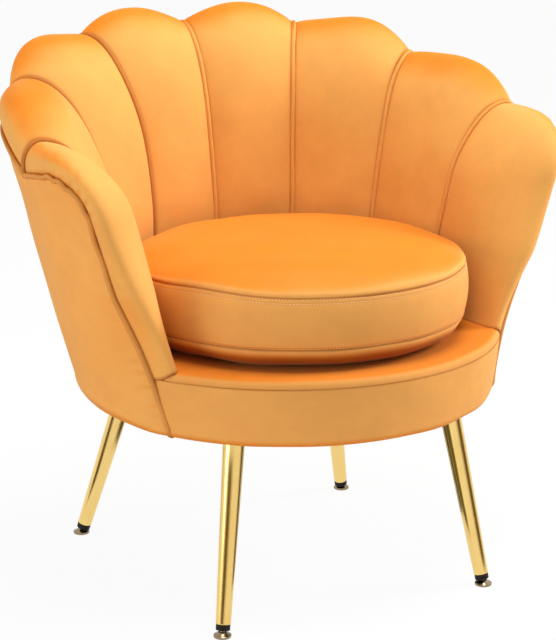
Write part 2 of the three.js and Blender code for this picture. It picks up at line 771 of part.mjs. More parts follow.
const uprightSteps = 5;
function upright(angleAtHeight, low, high, steps = uprightSteps) {
  const corner = (inset) => (i, j) => {
    const z = mix(low, high, j / steps);
    const middle = angleAtHeight(z);
    const angle = middle + ((i - 1 / 2) * uprightWidth) / footRadius;
    return at(wallRadius(angle, z) - inset, angle, z);
  };
  return wallSolid(1, steps, corner(frameOuter), corner(frameInner));
}
const uprightFoot = lowRailTop + fit;
uprightAngles.forEach((angle, k) => {
  const halfWidth = uprightWidth / 2 / footRadius;
  const lowest = Math.min(topRailHeight(rad(angle) + halfWidth), topRailHeight(rad(angle) - halfWidth));
  const high = lowest - railHeight - fit;
  add("back_upright_" + (k + 1), upright(() => rad(angle), uprightFoot, high), plywood);
});
const postAngle = (z) => rad(armEdgeAngle(z)) - (armPostMargin + uprightWidth / 2) / footRadius;
const armPost = upright(postAngle, uprightFoot, armTopHeight - fit);
add("arm_post_right", armPost, plywood);
add("arm_post_left", mirrored(armPost), plywood);

// Legs: plate with a spigot, tapered tube, end plug and levelling glide, each splayed on its own line

const legSegments = 24;
const stemSegments = 12;
const plugHole = stemRadius + fit;
// The head of a leg, on its plate, and its base on the floor; side is -1 on the left and 1 on the right.
function legEnds(side, inset, angle, splay) {
  const head = at(footRadius - inset, rad(angle), plateBottom);
  const base = new THREE.Vector3(head.x + splay[0], head.y + splay[1], 0);
  return [head, base].map((p) => p.setX(side * p.x));
}
const frontLeg = (side) => legEnds(side, frontLegInset, frontLegAngle, frontLegSplay);
const backLeg = (side) => legEnds(side, backLegInset, backLegAngle, backLegSplay);
for (const [name, [head, base]] of [
  ["front_left", frontLeg(-1)],
  ["front_right", frontLeg(1)],
  ["back_left", backLeg(-1)],
  ["back_right", backLeg(1)],
]) {
  const axis = head.clone().sub(base).normalize();
  const turn = new THREE.Quaternion().setFromUnitVectors(new THREE.Vector3(0, 0, 1), axis);
  const alongAxis = (geometry) => {
    const moved = geometry.clone().applyQuaternion(turn).translate(base.x, base.y, base.z);
    return moved;
  };
  const length = head.distanceTo(base);
  const tubeFoot = (glideHeight + plugHeight) / axis.z;
  const headRoom = plateSize; // the tube is made long, then cut level below the plate
  const taper = (legTopRadius - legFootRadius) / (length - tubeFoot);
  const longRadius = legTopRadius + taper * headRoom;
  const tube = toSolid(
    alongAxis(
      lathe(
        [
          [legFootRadius - legWall, tubeFoot],
          [legFootRadius, tubeFoot],
          [longRadius, length + headRoom],
          [longRadius - legWall, length + headRoom],
          [legFootRadius - legWall, tubeFoot],
        ],
        legSegments,
      ),
    ),
  );
  const cutSize = 4 * headRoom;
  const cutter = new THREE.BoxGeometry(cutSize, cutSize, cutSize);
  cutter.translate(head.x, head.y, head.z - fit + cutSize / 2);
  add("leg_" + name, fromSolid(tube.subtract(toSolid(cutter))), gold);

  const plate = new THREE.BoxGeometry(plateSize, plateSize, plateThickness);
  plate.rotateZ(-Math.atan2(head.x, head.y));
  plate.translate(head.x, head.y, head.z + plateThickness / 2);
  const spigotRadius = legTopRadius - legWall - taper * spigotLength - fit * 2;
  const spigot = lathe(disc(spigotRadius, length - spigotLength, length + plateThickness / 2), legSegments);
  const above = toSolid(cutter.clone().translate(0, 0, plateThickness / 2));
  const trimmed = toSolid(alongAxis(spigot)).subtract(above);
  add("leg_plate_" + name, fromSolid(toSolid(plate).add(trimmed)), steel);

  const plugFoot = glideHeight / axis.z;
  const boreRadius = legFootRadius - legWall - fit;
  add(
    "end_plug_" + name,
    alongAxis(
      lathe(
        [
          [plugHole, plugFoot],
          [plugRadius, plugFoot],
          [plugRadius, tubeFoot - fit],
          [boreRadius, tubeFoot - fit],
          [boreRadius, tubeFoot + plugDepth],
          [plugHole, tubeFoot + plugDepth],
          [plugHole, plugFoot],
        ],
        legSegments,
      ),
    ),
    blackPlastic,
  );

  const pad = lathe(
    [
      [0, 0],
      [glideRadius - glideChamfer, 0],
      [glideRadius, glideChamfer],
      [glideRadius, glideChamfer * 2],
      [glideNeck, glideHeight - glideChamfer],
      [0, glideHeight - glideChamfer],
    ],
    legSegments,
  ).translate(base.x, base.y, 0);
  const stem = alongAxis(lathe(disc(stemRadius, glideHeight / 3, stemLength), stemSegments));
  add("glide_" + name, fromSolid(toSolid(pad).add(toSolid(stem))), nickel);
}

// Dust cover with a hole for each leg

const dustRadius = hemInner - slack;
let dust = toSolid(lathe(disc(dustRadius, underside, dustTop), ringSegments));
for (const [head, base] of [frontLeg(-1), frontLeg(1), backLeg(-1), backLeg(1)]) {
  const place = base.clone().lerp(head, underside / plateBottom);
  const hole = lathe(disc(legTopRadius + slack * 2, underside - slack, dustTop + slack), legSegments);
  dust = dust.subtract(toSolid(hole.translate(place.x, place.y, 0)));
}
add("dust_cover", fromSolid(dust), cambric);

// Cushion: core, top panel, boxing band and bottom panel, with a zip round the back

const wellRadius = wallRadius(rad(90), topSeam) - channelDepth; // between the arms
const cushionRadius = wellRadius - cushionClearance;
const restRadius = cushionRadius - restMargin;
const cushionGroup = new THREE.Group();
cushionGroup.position.y = -cushionOffset;
chair.add(cushionGroup);
const cushionSegments = 40; // the zip shares its facets
// The crowned top as [radius, height], from the seam to the centre, and the belly from its flat to the
// bottom seam; depth moves both into the cushion.
const crown = (depth) =>
  [0, 1 / 8, 1 / 3, 1 / 2, 3 / 4, 1].map((share) => {
    const turn = (share * Math.PI) / 2;
    const shoulder = crownShoulder * Math.sqrt(Math.sin(turn));
    const dome = (crownHeight - crownShoulder) * Math.sin(turn);
    return [(cushionRadius - depth) * Math.cos(turn), topSeam - depth + shoulder + dome];
  });
const belly = (depth) =>
  [0, 1 / 3, 2 / 3, 1].map((share) => {
    const turn = (share * Math.PI) / 2;
    return [
      mix(restRadius, cushionRadius - depth, Math.sin(turn)),
      cushionBottom + depth + (boxingBottom - depth) * (1 - Math.cos(turn)),
    ];
  });
const coreInset = panelThickness + fit;
add(
  "cushion_core",
  lathe([[0, cushionBottom + coreInset], ...belly(coreInset), ...crown(coreInset)], cushionSegments),
  foam,
  cushionGroup,
);
const topInside = crown(panelThickness).map(([r, z]) => [r, Math.max(z, topSeam)]);
add("cushion_top", lathe([...topInside.reverse(), ...crown(0)], cushionSegments), velvet, cushionGroup);
const bellyInside = belly(panelThickness).map(([r, z]) => [r, Math.min(z, bottomSeam)]);
add(
  "cushion_base",
  lathe(
    [[0, cushionBottom], ...belly(0), ...bellyInside.reverse(), [0, cushionBottom + panelThickness]],
    cushionSegments,
  ),
  velvet,
  cushionGroup,
);
const boxingLow = bottomSeam + fit;
const boxingHigh = topSeam - fit;
const boxingFace = (depth) =>
  [0, 1 / 4, 1 / 2, 3 / 4, 1].map((share) => [
    cushionRadius - depth + cushionSideBulge * Math.sin(share * Math.PI),
    mix(boxingLow, boxingHigh, share),
  ]);
const boxing = [...boxingFace(0), ...boxingFace(panelThickness).reverse()];
add("cushion_boxing", lathe([...boxing, boxing[0]], cushionSegments), velvet, cushionGroup);

const zipMiddle = (boxingLow + boxingHigh) / 2;
const zipColumns = Math.round((zipAngle * cushionSegments) / 180);
const zipFace = cushionRadius + cushionSideBulge + fit;
const zipPoint = (depth) => (i, j) =>
  at(zipFace + depth, rad(mix(-zipAngle, zipAngle, i / zipColumns)), zipMiddle + (j - 1 / 2) * zipWidth);
add("zip_tape", wallSolid(zipColumns, 1, zipPoint(zipThickness), zipPoint(0)), velvetPiping, cushionGroup);
const slider = new THREE.BoxGeometry(sliderLength, sliderThickness, sliderWidth);
const pull = new THREE.BoxGeometry(pullWidth, zipThickness, pullLength);
pull.translate(0, (sliderThickness - zipThickness) / 2, -pullLength / 2);
const sliderMesh = add("zip_slider", fromSolid(toSolid(slider).add(toSolid(pull))), nickel, cushionGroup);
const sliderReach = zipFace + zipThickness + fit + sliderThickness / 2;
const sliderTurn = rad(zipAngle - sliderMargin);
sliderMesh.position.copy(at(sliderReach, sliderTurn, zipMiddle));
sliderMesh.rotation.z = -sliderTurn;

// Origin under the middle of the whole chair, on the floor

const bounds = new THREE.Box3().setFromObject(chair);
chair.position.y = -(bounds.min.y + bounds.max.y) / 2;

export default chair;
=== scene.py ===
# Scallop back chair: velvet channels wrapped round a loose round cushion, on four splayed gold legs.
# Metres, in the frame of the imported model. The front faces -Y; angles round the seat start at the back.
from math import acos, atan2, cos, pi, radians, sin, sqrt

import bpy
import numpy as np
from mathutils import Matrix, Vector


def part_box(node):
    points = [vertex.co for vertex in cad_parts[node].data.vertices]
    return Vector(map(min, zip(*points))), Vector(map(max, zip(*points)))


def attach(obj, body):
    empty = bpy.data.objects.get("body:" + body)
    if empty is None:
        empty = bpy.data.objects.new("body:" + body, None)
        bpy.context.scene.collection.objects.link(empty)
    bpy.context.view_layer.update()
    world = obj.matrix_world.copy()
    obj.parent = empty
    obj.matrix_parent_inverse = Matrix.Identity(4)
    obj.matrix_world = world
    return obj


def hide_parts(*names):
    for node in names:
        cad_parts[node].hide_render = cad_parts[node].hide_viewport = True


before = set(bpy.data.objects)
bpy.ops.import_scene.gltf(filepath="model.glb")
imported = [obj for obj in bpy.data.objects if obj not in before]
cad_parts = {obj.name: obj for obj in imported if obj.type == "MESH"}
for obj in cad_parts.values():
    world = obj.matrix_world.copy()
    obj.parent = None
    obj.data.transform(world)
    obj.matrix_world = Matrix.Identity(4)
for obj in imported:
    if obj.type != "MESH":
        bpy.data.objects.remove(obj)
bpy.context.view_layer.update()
scene = bpy.context.scene
ringLow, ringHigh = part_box("base_ring")
seatY = (ringLow.y + ringHigh.y) / 2  # the seat's axis stands here


class Values(dict):  # a dictionary whose values are also read as attributes
    def __getattr__(self, name):
        return self[name]


def linked(name, data):  # a new object in the scene
    obj = bpy.data.objects.new(name, data)
    scene.collection.objects.link(obj)
    return obj


# Camera, fitted to the round seat and the four feet in the photograph
camera = Values(
    azimuth=-27.16,  # degrees to the left of the front
    elevation=14.31,
    distance=3.0,
    aimHeight=0.380,
    frameHeight=640,  # pixels
    focalPixels=2124,
    aimPixel=(286.6, 307.4),  # where the aim falls in the frame
    framePixel=(278, 320),  # the middle of the frame
    sensor=36,
)


# It stands back from its aim along the azimuth and elevation, and shifts to the photograph's frame.
def makeCamera():
    data = bpy.data.cameras.new("camera")
    obj = linked("camera", data)
    a, e = radians(camera.azimuth), radians(camera.elevation)
    back = np.array([sin(a) * cos(e), -cos(a) * cos(e), sin(e)])
    obj.location = np.array([0, seatY, camera.aimHeight]) + camera.distance * back
    obj.rotation_euler = (pi / 2 - e, 0, a)
    data.sensor_width = camera.sensor
    data.lens = camera.sensor * camera.focalPixels / camera.frameHeight
    data.shift_x = (camera.framePixel[0] - camera.aimPixel[0]) / camera.frameHeight
    data.shift_y = (camera.aimPixel[1] - camera.framePixel[1]) / camera.frameHeight
    scene.camera = obj


makeCamera()
print("camera set")


# Small sums used by every surface
def mix(low, high, share):  # a straight line from low to high
    return low + (high - low) * share


def within(value):  # 0 to 1
    return np.clip(value, 0, 1)


def quarter(share):  # of a turn
    return within(share) * pi / 2


def smooth(value, low, high):  # 0 to 1, as three squares less two cubes
    share = within((value - low) / (high - low))
    return share * share * (3 - 2 * share)


def bell(distance, width):  # e to the power of less the square of their ratio
    return np.exp(-((distance / width) ** 2))


def keyed(place, keys):  # value at a place between (place, value) keys, with smooth joins
    value = np.full(np.shape(place), float(keys[0][1]))
    for (a, low), (b, high) in zip(keys, keys[1:]):
        value = np.where(place > a, mix(low, high, smooth(place, a, b)), value)
    return value


def joined(*parts):  # numbers or arrays side by side, as points
    return np.stack(np.broadcast_arrays(*parts), axis=-1)


def at(radius, angle, z):  # points at a radius and angle round the seat's axis
    return joined(radius * np.sin(angle), radius * np.cos(angle) + seatY, z)


def outwardAt(angle):  # level direction away from the seat's axis
    return joined(np.sin(angle), np.cos(angle), 0)


def sidewaysAt(angle):  # level direction square to that
    return joined(np.cos(angle), -np.sin(angle), 0)


def unit(vectors):  # the same directions, made 1 long
    return vectors / np.maximum(np.linalg.norm(vectors, axis=-1, keepdims=True), 1e-12)


def fromAxis(points, y=seatY):  # level direction to the points from an upright axis
    return unit((points - np.array([0, y, 0])) * np.array([1, 1, 0]))


def ringOf(sides, first, second):  # a unit circle in the plane of two directions
    turn = (2 * pi * np.arange(sides) / sides)[:, None, None]
    return np.cos(turn) * first + np.sin(turn) * second


def runsAlong(points):  # length run along the points
    steps = np.linalg.norm(np.diff(points, axis=-2), axis=-1)
    return np.insert(steps.cumsum(-1), 0, 0, axis=-1)


# Soft unevenness: a sum of plane waves of about the given size, in seeded directions.
def unevenness(points, size, seed, waves=9):
    draw = np.random.default_rng(seed)
    directions = unit(draw.normal(size=(waves, 3)))
    turns = 2 * pi / (size * draw.uniform(0.7, 1.5, waves))
    phases = draw.uniform(0, 2 * pi, waves)
    return np.sin(points @ (directions * turns[:, None]).T + phases).sum(-1) / sqrt(waves)


# Meshes from grids
def quads(a, b, c, d):
    return np.stack([a, b, c, d], axis=-1).reshape(-1, 4)


# A closed mesh with its faces turned outwards, judged by the sign of its volume.
def meshObject(name, points, faces, sharpAngle=50):
    points = np.asarray(points, float).reshape(-1, 3)
    volume = 0
    for part in faces:
        for k in range(1, part.shape[1] - 1):
            a, b, c = points[part[:, 0]], points[part[:, k]], points[part[:, k + 1]]
            volume += np.einsum("ij,ij->", a, np.cross(b, c))
    if volume < 0:
        faces = [part[:, ::-1] for part in faces]
    mesh = bpy.data.meshes.new(name)
    mesh.from_pydata(points.tolist(), [], [face for part in faces for face in part.tolist()])
    mesh.polygons.foreach_set("use_smooth", np.ones(len(mesh.polygons), bool))
    mesh.set_sharp_from_angle(angle=radians(sharpAngle))
    return linked(name, mesh)


def setField(obj, name, values):  # one value for all points, or a value for each
    field = obj.data.attributes.new(name, "FLOAT", "POINT")
    values = np.broadcast_to(np.ravel(values), len(obj.data.vertices))
    field.data.foreach_set("value", np.ascontiguousarray(values, np.float32))


# The solid between two surfaces on one grid: each column is a loop up the face and down the back.
def wallMesh(name, face, back, **options):
    count = face.shape[1]
    loops = np.concatenate([face, back[:, ::-1]], axis=1)
    ids = np.arange(loops.shape[0] * 2 * count).reshape(loops.shape[0], 2 * count)
    following = np.roll(ids, -1, axis=1)
    sides = quads(ids[:-1], following[:-1], following[1:], ids[1:])
    up = np.arange(count - 1)
    down = 2 * count - 1 - up
    first, last = ids[0], ids[-1]
    low = quads(first[up], first[down], first[down - 1], first[up + 1])
    high = quads(last[up], last[up + 1], last[down - 1], last[down])
    return meshObject(name, loops, [sides, low, high], **options)


def loopMesh(name, grid, **options):  # grid[i] goes round, and each column is a closed loop
    ids = np.arange(grid.shape[0] * grid.shape[1]).reshape(grid.shape[:2])
    right, up = np.roll(ids, -1, axis=0), np.roll(ids, -1, axis=1)
    return meshObject(name, grid, [quads(ids, right, np.roll(right, -1, axis=1), up)], **options)


# Copies of one round shape: shapes[n, i, j] goes round with i, and each column runs from pole to pole.
def repeatedMesh(name, shapes, **options):
    count, around, rows = shapes.shape[:3]
    ids = np.arange(around * (rows - 2)).reshape(around, rows - 2)
    right = np.roll(ids, -1, axis=0)
    walls = quads(ids[:, :-1], right[:, :-1], right[:, 1:], ids[:, 1:])
    low, high = np.full(around, ids.size), np.full(around, ids.size + 1)
    fans = np.array([[low, right[:, 0], ids[:, 0]], [high, ids[:, -1], right[:, -1]]])
    fans = fans.transpose(0, 2, 1).reshape(-1, 3)
    steps = (ids.size + 2) * np.arange(count)[:, None, None]
    poles = np.stack([shapes[:, :, 0].mean(1), shapes[:, :, -1].mean(1)], axis=1)
    points = np.concatenate([shapes[:, :, 1:-1].reshape(count, -1, 3), poles], axis=1)
    faces = [(walls + steps).reshape(-1, 4), (fans + steps).reshape(-1, 3)]
    return meshObject(name, points, faces, **options)


def roundMesh(name, grid, **options):  # one such shape
    return repeatedMesh(name, grid[None], **options)


# A round cord: rings of the radius square to the route, kept unturned by an outward direction.
def cordMesh(name, route, radius, outward, sides=14):
    along = unit(np.gradient(route, axis=0))
    side = unit(np.cross(along, outward))
    rings = route + radius * ringOf(sides, side, np.cross(side, along))
    ends = np.broadcast_to(route[[0, -1]], (sides, 2, 3))
    return roundMesh(name, np.concatenate([ends[:, :1], rings, ends[:, 1:]], axis=1))


# Points spaced evenly along a closed line, with the way the line runs there.
def spaced(line, pitch):
    line = np.concatenate([line, line[:1]])
    runs = runsAlong(line)
    count = int(round(runs[-1] / pitch))
    places = (np.arange(count) + 0.5) * runs[-1] / count

    def pointsAt(places):
        return joined(*[np.interp(places, runs, axis) for axis in line.T])

    return pointsAt(places), unit(pointsAt(places + pitch * 0.2) - pointsAt(places - pitch * 0.2))


def gridNormals(grid):  # square to a grid's two directions, pointing the way of their cross product
    return unit(np.cross(np.gradient(grid, axis=0), np.gradient(grid, axis=1)))


def outwardNormals(grid):  # a grid's normals, turned away from the seat's axis
    normal = gridNormals(grid)
    return normal * np.sign(np.einsum("ijk,ijk->ij", normal, fromAxis(grid)))[..., None]


def mirrored(points):  # left for right
    return points * np.array([-1, 1, 1])


# A piece's material, the body it rides on and the solids that it stands for. Its slot is not used.
def finished(obj, body, slot, material, *replaced):
    obj.data.materials.append(material)
    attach(obj, body)
    if replaced:
        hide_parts(*replaced)


class Signal:
    # A socket in a node tree. Sums with it add Math nodes; node() adds any other node.
    def __init__(self, tree, socket=None):
        self.tree = tree
        self.socket = socket

    # A node with these settings; a value is a number or colour, or a signal that is led in.
    def node(self, kind, settings=None, values=None, output=0):
        made = self.tree.nodes.new(kind)
        for key, value in (settings or {}).items():
            setattr(made, key, value)
        for key, value in (values or {}).items():
            if isinstance(value, Signal):
                self.tree.links.new(value.socket, made.inputs[key])
            else:
                made.inputs[key].default_value = value
        return Signal(self.tree, made.outputs[output])

    def sum(self, operation, *terms):
        return self.node("ShaderNodeMath", {"operation": operation}, dict(enumerate(terms)))

    def vector(self, operation, *terms, output=0):
        return self.node("ShaderNodeVectorMath", {"operation": operation}, dict(enumerate(terms)), output)

    def __add__(self, other):
        return self.sum("ADD", self, other)

    def __radd__(self, other):
        return self.sum("ADD", other, self)

    def __sub__(self, other):
        return self.sum("SUBTRACT", self, other)

    def __rsub__(self, other):
        return self.sum("SUBTRACT", other, self)

    def __mul__(self, other):
        return self.sum("MULTIPLY", self, other)

    def __rmul__(self, other):
        return self.sum("MULTIPLY", other, self)

    def part(self, index):  # x, y or z
        return self.node("ShaderNodeSeparateXYZ", None, {0: self}, index)

    def between(self, low, high):  # 0 below low, 1 above high, eased in between
        values = {"Value": self, "From Min": low, "From Max": high}
        return self.node("ShaderNodeMapRange", {"interpolation_type": "SMOOTHSTEP"}, values)

    def noise(self, scale, detail=2.0, roughness=0.5):  # around 0.5, at this place
        values = {"Vector": self, "Scale": scale, "Detail": detail, "Roughness": roughness}
        return self.node("ShaderNodeTexNoise", None, values)

    def stretched(self, scale):  # the place times a scale for each axis
        return self.node("ShaderNodeMapping", None, {"Vector": self, "Scale": scale})

    def field(self, name):  # a number that the mesh holds at each point
        return self.node("ShaderNodeAttribute", {"attribute_name": name}, None, "Fac")

    def blend(self, low, high):  # from one colour to the other
        return self.node("ShaderNodeMix", {"data_type": "RGBA"}, {0: self, 6: low, 7: high}, 2)

    def bump(self, strength, distance):  # a normal from this height
        values = {"Height": self, "Strength": strength, "Distance": distance}
        return self.node("ShaderNodeBump", None, values)

    def surface(self, values):  # the usual shader
        return self.node("ShaderNodeBsdfPrincipled", None, values)

    def shaderMix(self, share, first, second):  # a share of 1 is all the second
        return self.node("ShaderNodeMixShader", None, {0: share, 1: first, 2: second})

    def seen(self):  # 1 for rays of the camera, of reflections and through glass
        kinds = ("Is Camera Ray", "Is Glossy Ray", "Is Transmission Ray")
        camera, glossy, through = (self.node("ShaderNodeLightPath", output=kind) for kind in kinds)
        return self.sum("MAXIMUM", camera, self.sum("MAXIMUM", glossy, through))

    def shown(self, kind):  # leads to the tree's output node
        output = self.tree.nodes.new(kind)
        self.tree.links.new(self.socket, output.inputs["Surface"])


def rgba(red, green, blue):  # an opaque colour
    return (red, green, blue, 1)


# A material by its look: a function that is given the place on the object and returns the shader.
def material(name, look, *terms):
    made = bpy.data.materials.new(name)
    made.use_nodes = True
    tree = made.node_tree
    tree.nodes.clear()
    spot = Signal(tree, tree.nodes.new("ShaderNodeTexCoord").outputs["Object"])
    look(spot, *terms).shown("ShaderNodeOutputMaterial")
    return made


# Velvet, with painted light and shade in its tone: deep orange where it faces up, lies level or turns over a
# rim, paler where it stands upright, darker where it faces down, and dark in the creases. How far it faces
# each way is a share of up, of backwards and of outwards from the seat's axis. A piece gives its painted
# crease shade in the field crease.
velvetTones = Values(
    # Painted tones: paler for lit upright cloth, deep orange for cloth facing up, darker for cloth facing
    # down, dark brown for painted crease shade
    upright=rgba(0.86, 0.392, 0.093),
    level=rgba(0.82, 0.236, 0.012),
    under=rgba(0.70, 0.210, 0.012),
    crease=rgba(0.36, 0.082, 0.004),
    upShare=0.80,
    backShare=0.26,
    outShare=0.0,
    lieVaries=0.30,
    levelFrom=(0.34, 0.74),  # facing over which the painted upright tone turns to the painted level one
    underFrom=(0.10, 0.75),
    blotch=6.0,  # scales: worn patches, brushed marks and the pile itself
    brush=34.0,
    pile=900.0,
    light=0.93,
    lightVaries=(0.16, 0.14, 0.10),
    rough=0.80,
    roughVaries=0.18,
    pileShare=0.35,
    bump=(0.25, 0.0006),
    sheen=0.20,
    sheenRough=0.35,
    sheenTint=rgba(1.0, 0.74, 0.36),
    specular=0.18,
)
# Copies for the back's channels and for the arms: only their painted light differs, with tones and facing
# shares set for how the light falls on them
channelTones = Values(
    velvetTones,
    upright=rgba(0.86, 0.408, 0.096),
    backShare=0.20,
    outShare=0.12,
    levelFrom=(0.24, 0.64),
)
armTones = Values(channelTones, upShare=0.56, backShare=0.0, outShare=0.40, levelFrom=(0.46, 0.80))


# Blotches, brushed marks and the pile also vary its light, its roughness and its bump.
def velvet(spot, tones=velvetTones, shade=1.0):
    normal = spot.node("ShaderNodeNewGeometry", output="Normal")
    up, back = normal.part(2), normal.part(1)
    outward = spot.vector("NORMALIZE", spot.vector("MULTIPLY_ADD", spot, (1, 1, 0), (0, -seatY, 0)))
    out = spot.vector("DOT_PRODUCT", outward, normal, output="Value")
    blotch = spot.noise(tones.blotch, 3.0, 0.55)
    brush = spot.noise(tones.brush, 3.0, 0.6)
    pile = spot.noise(tones.pile, 1.0)
    # Painted light and shade: the tone is picked by which way the cloth faces, and darkened where it faces
    # down and where the field crease paints crease shade
    paintedFacing = up * tones.upShare + back * tones.backShare + out * tones.outShare
    paintedFacing = paintedFacing + (blotch - 0.5) * tones.lieVaries
    colour = paintedFacing.between(*tones.levelFrom).blend(tones.upright, tones.level)
    colour = (0 - up).between(*tones.underFrom).blend(colour, tones.under)
    colour = spot.field("crease").blend(colour, tones.crease)
    byBlotch, byBrush, byPile = tones.lightVaries
    light = tones.light + (blotch - 0.5) * byBlotch + (brush - 0.5) * byBrush + (pile - 0.5) * byPile
    light = light * shade
    tint = spot.node("ShaderNodeCombineColor", None, {0: light, 1: light, 2: light})
    multiply = {"data_type": "RGBA", "blend_type": "MULTIPLY"}
    return spot.surface({
        "Base Color": spot.node("ShaderNodeMix", multiply, {0: 1.0, 6: colour, 7: tint}, 2),
        "Roughness": tones.rough + (brush - 0.5) * tones.roughVaries,
        "Normal": (pile * tones.pileShare + brush * (1 - tones.pileShare)).bump(*tones.bump),
        "Sheen Weight": tones.sheen,
        "Sheen Roughness": tones.sheenRough,
        "Sheen Tint": tones.sheenTint,
        "Specular IOR Level": tones.specular,
    })


# Thread: two oranges that change as finely as its twist.
def thread(spot):
    twist = spot.noise(2200.0, 1.0)
    colour = twist.blend(rgba(0.90, 0.50, 0.20), rgba(0.98, 0.68, 0.36))
    return spot.surface({"Base Color": colour, "Roughness": 0.55 + twist * 0.1})


# Plywood: stretched grain, with a sine of dark layers through its height.
def plywood(spot, ply=0.0028):
    layer = spot.sum("SINE", spot.part(2) * (2 * pi / ply))
    grain = spot.stretched((6.0, 6.0, 90.0)).noise(3.0, 6.0, 0.65)
    colour = grain.blend(rgba(0.42, 0.25, 0.12), rgba(0.66, 0.46, 0.27))
    colour = layer.between(0.2, 0.9).blend(colour, rgba(0.34, 0.20, 0.10))
    bump = (grain * 0.6 + layer * 0.1).bump(0.4, 0.0008)
    return spot.surface({"Base Color": colour, "Roughness": 0.62 + grain * 0.2, "Normal": bump})


# Foam: small open cells, pale inside and darker between.
def foam(spot):
    cells = spot.node("ShaderNodeTexVoronoi", None, {"Vector": spot, "Scale": 700.0})
    colour = cells.between(0.1, 0.6).blend(rgba(0.62, 0.53, 0.33), rgba(0.84, 0.77, 0.58))
    return spot.surface({"Base Color": colour, "Roughness": 0.95, "Normal": cells.bump(0.6, 0.0008)})


# Woven cloth: two crossed sets of ribs, given by the count of threads in a metre.
def woven(spot, dark, pale, threads, rough):
    step = 2 * pi * threads
    ribs = spot.sum("SINE", spot.part(0) * step) * spot.sum("SINE", spot.part(1) * step) * 0.5 + 0.5
    fibre = spot.noise(threads * 3.0, 2.0)
    colour = (ribs * 0.6 + fibre * 0.4).blend(dark, pale)
    return spot.surface({
        "Base Color": colour,
        "Roughness": rough + fibre * 0.1,
        "Normal": ribs.bump(0.6, 0.0006),
    })


# Polished plating: a faint cloudiness in the roughness and the finest scratches along the bump.
def plated(spot, pale, deep, rough, scratch=0.05):
    cloud = spot.noise(14.0, 4.0, 0.6)
    lines = spot.stretched((500.0, 500.0, 6.0)).noise(1.0, 3.0, 0.7)
    return spot.surface({
        "Base Color": cloud.between(0.35, 0.75).blend(pale, deep),
        "Roughness": rough + (cloud - 0.5) * 0.08 + (lines - 0.5) * 0.05,
        "Metallic": 1.0,
        "Normal": lines.bump(scratch, 0.0002),
    })


# Black plastic: faint patches of wear over a fine grain.
def blackPlastic(spot):
    wear = spot.noise(60.0, 4.0, 0.65)
    return spot.surface({
        "Base Color": wear.between(0.45, 0.8).blend(rgba(0.010, 0.007, 0.005), rgba(0.028, 0.021, 0.016)),
        "Roughness": 0.50 + wear * 0.2,
        "Normal": spot.noise(900.0, 2.0).bump(0.2, 0.0003),
        "Specular IOR Level": 0.20,
    })


velvetCloth = material("orange_velvet", velvet)
# Copies of one velvet that differ only in painted light and shade; the piping's copy is painted a little
# darker all over
channelCloth = material("orange_velvet_back", velvet, channelTones)
armCloth = material("orange_velvet_arms", velvet, armTones)
pipingCloth = material("orange_velvet_piping", velvet, velvetTones, 0.96)
threadCord = material("orange_thread", thread)
woodBoard = material("raw_plywood", plywood)
foamPad = material("upholstery_foam", foam)
webTones = rgba(0.045, 0.032, 0.026), rgba(0.14, 0.10, 0.08)
elasticWeb = material("elastic_webbing", woven, *webTones, 700.0, 0.75)
dustTones = rgba(0.006, 0.006, 0.006), rgba(0.035, 0.033, 0.032)
dustCloth = material("black_cambric", woven, *dustTones, 900.0, 0.85)
goldPlate = material("polished_gold", plated, rgba(0.90, 0.64, 0.23), rgba(0.84, 0.57, 0.18), 0.17)
plateSteel = material("zinc_plate", plated, rgba(0.46, 0.45, 0.43), rgba(0.30, 0.29, 0.27), 0.42, 0.3)
nickelPlate = material("bright_nickel", plated, rgba(0.34, 0.26, 0.16), rgba(0.17, 0.12, 0.07), 0.20)
darkPlastic = material("black_plastic", blackPlastic)
print("materials made")

# Shell: the wall that the upholstery follows, as in the frame
shell = Values(
    footRadius=0.291,  # outer radius of the base at its foot
    footLevel=0.268,
    height=0.482,  # from there to the highest seam
    lean=[(0, 0.235), (57.5, 0.3), (89, 0.3), (121.4, 0.29)],  # outwards, as a share of the climb
    curlShare=0.233,  # less lean towards the top
    tuck=0.013,  # the wall draws in by this at the arms, low down
    tuckHeight=0.190,
    tuckAngle=98,
    borderLean=0.09,
    borderBlend=10,  # degrees over which the border swings out to the wall
    depth=0.096,  # from the wall's outside in to the seams
    rimWidth=0.028,
    rimDrop=0.043,  # from the rim's top down to the welt
    pressDepth=0.012,
    pressedShare=0.6,
    weltGap=0.0020,
    pipeGap=0.0014,  # each channel starts this far from its seam's middle
    seams=[0, 28.5, 57.5, 89],  # degrees
    rims=[0.7445, 0.738, 0.6985, 0.6445],
    bends=[0.150, 0.142, 0.122, 0.100],
    crests=[0.014, 0.0135, 0.011],
    skews=[0.002, 0.006, 0.004],  # each crest's highest place lies a little outwards
    shoulderSwell=0.0055,  # the wall stands out by this round the shoulders
    shoulderLevel=0.612,
    shoulderReach=0.05,
    shoulderFrom=(38, 64),  # degrees over which it begins
    puff=0.017,
    puffPower=0.7,
    lowPuff=0.5,
)
base = Values(
    underside=0.264,
    skin=0.003,
    frontBend=0.014,
    sideBend=0.034,
    hem=0.003,
    borderTop=0.346,
    borderPad=0.005,
    deckTop=0.3578,
    deckInset=0.012,
    deckMargin=0.014,
    railAngle=112,
    deckFront=(100, 114),  # degrees over which the deck takes its rounded front edge
    backInset=0.028,  # from the wall's outside to the back of the padding
    railBelowWelt=0.0105,
)
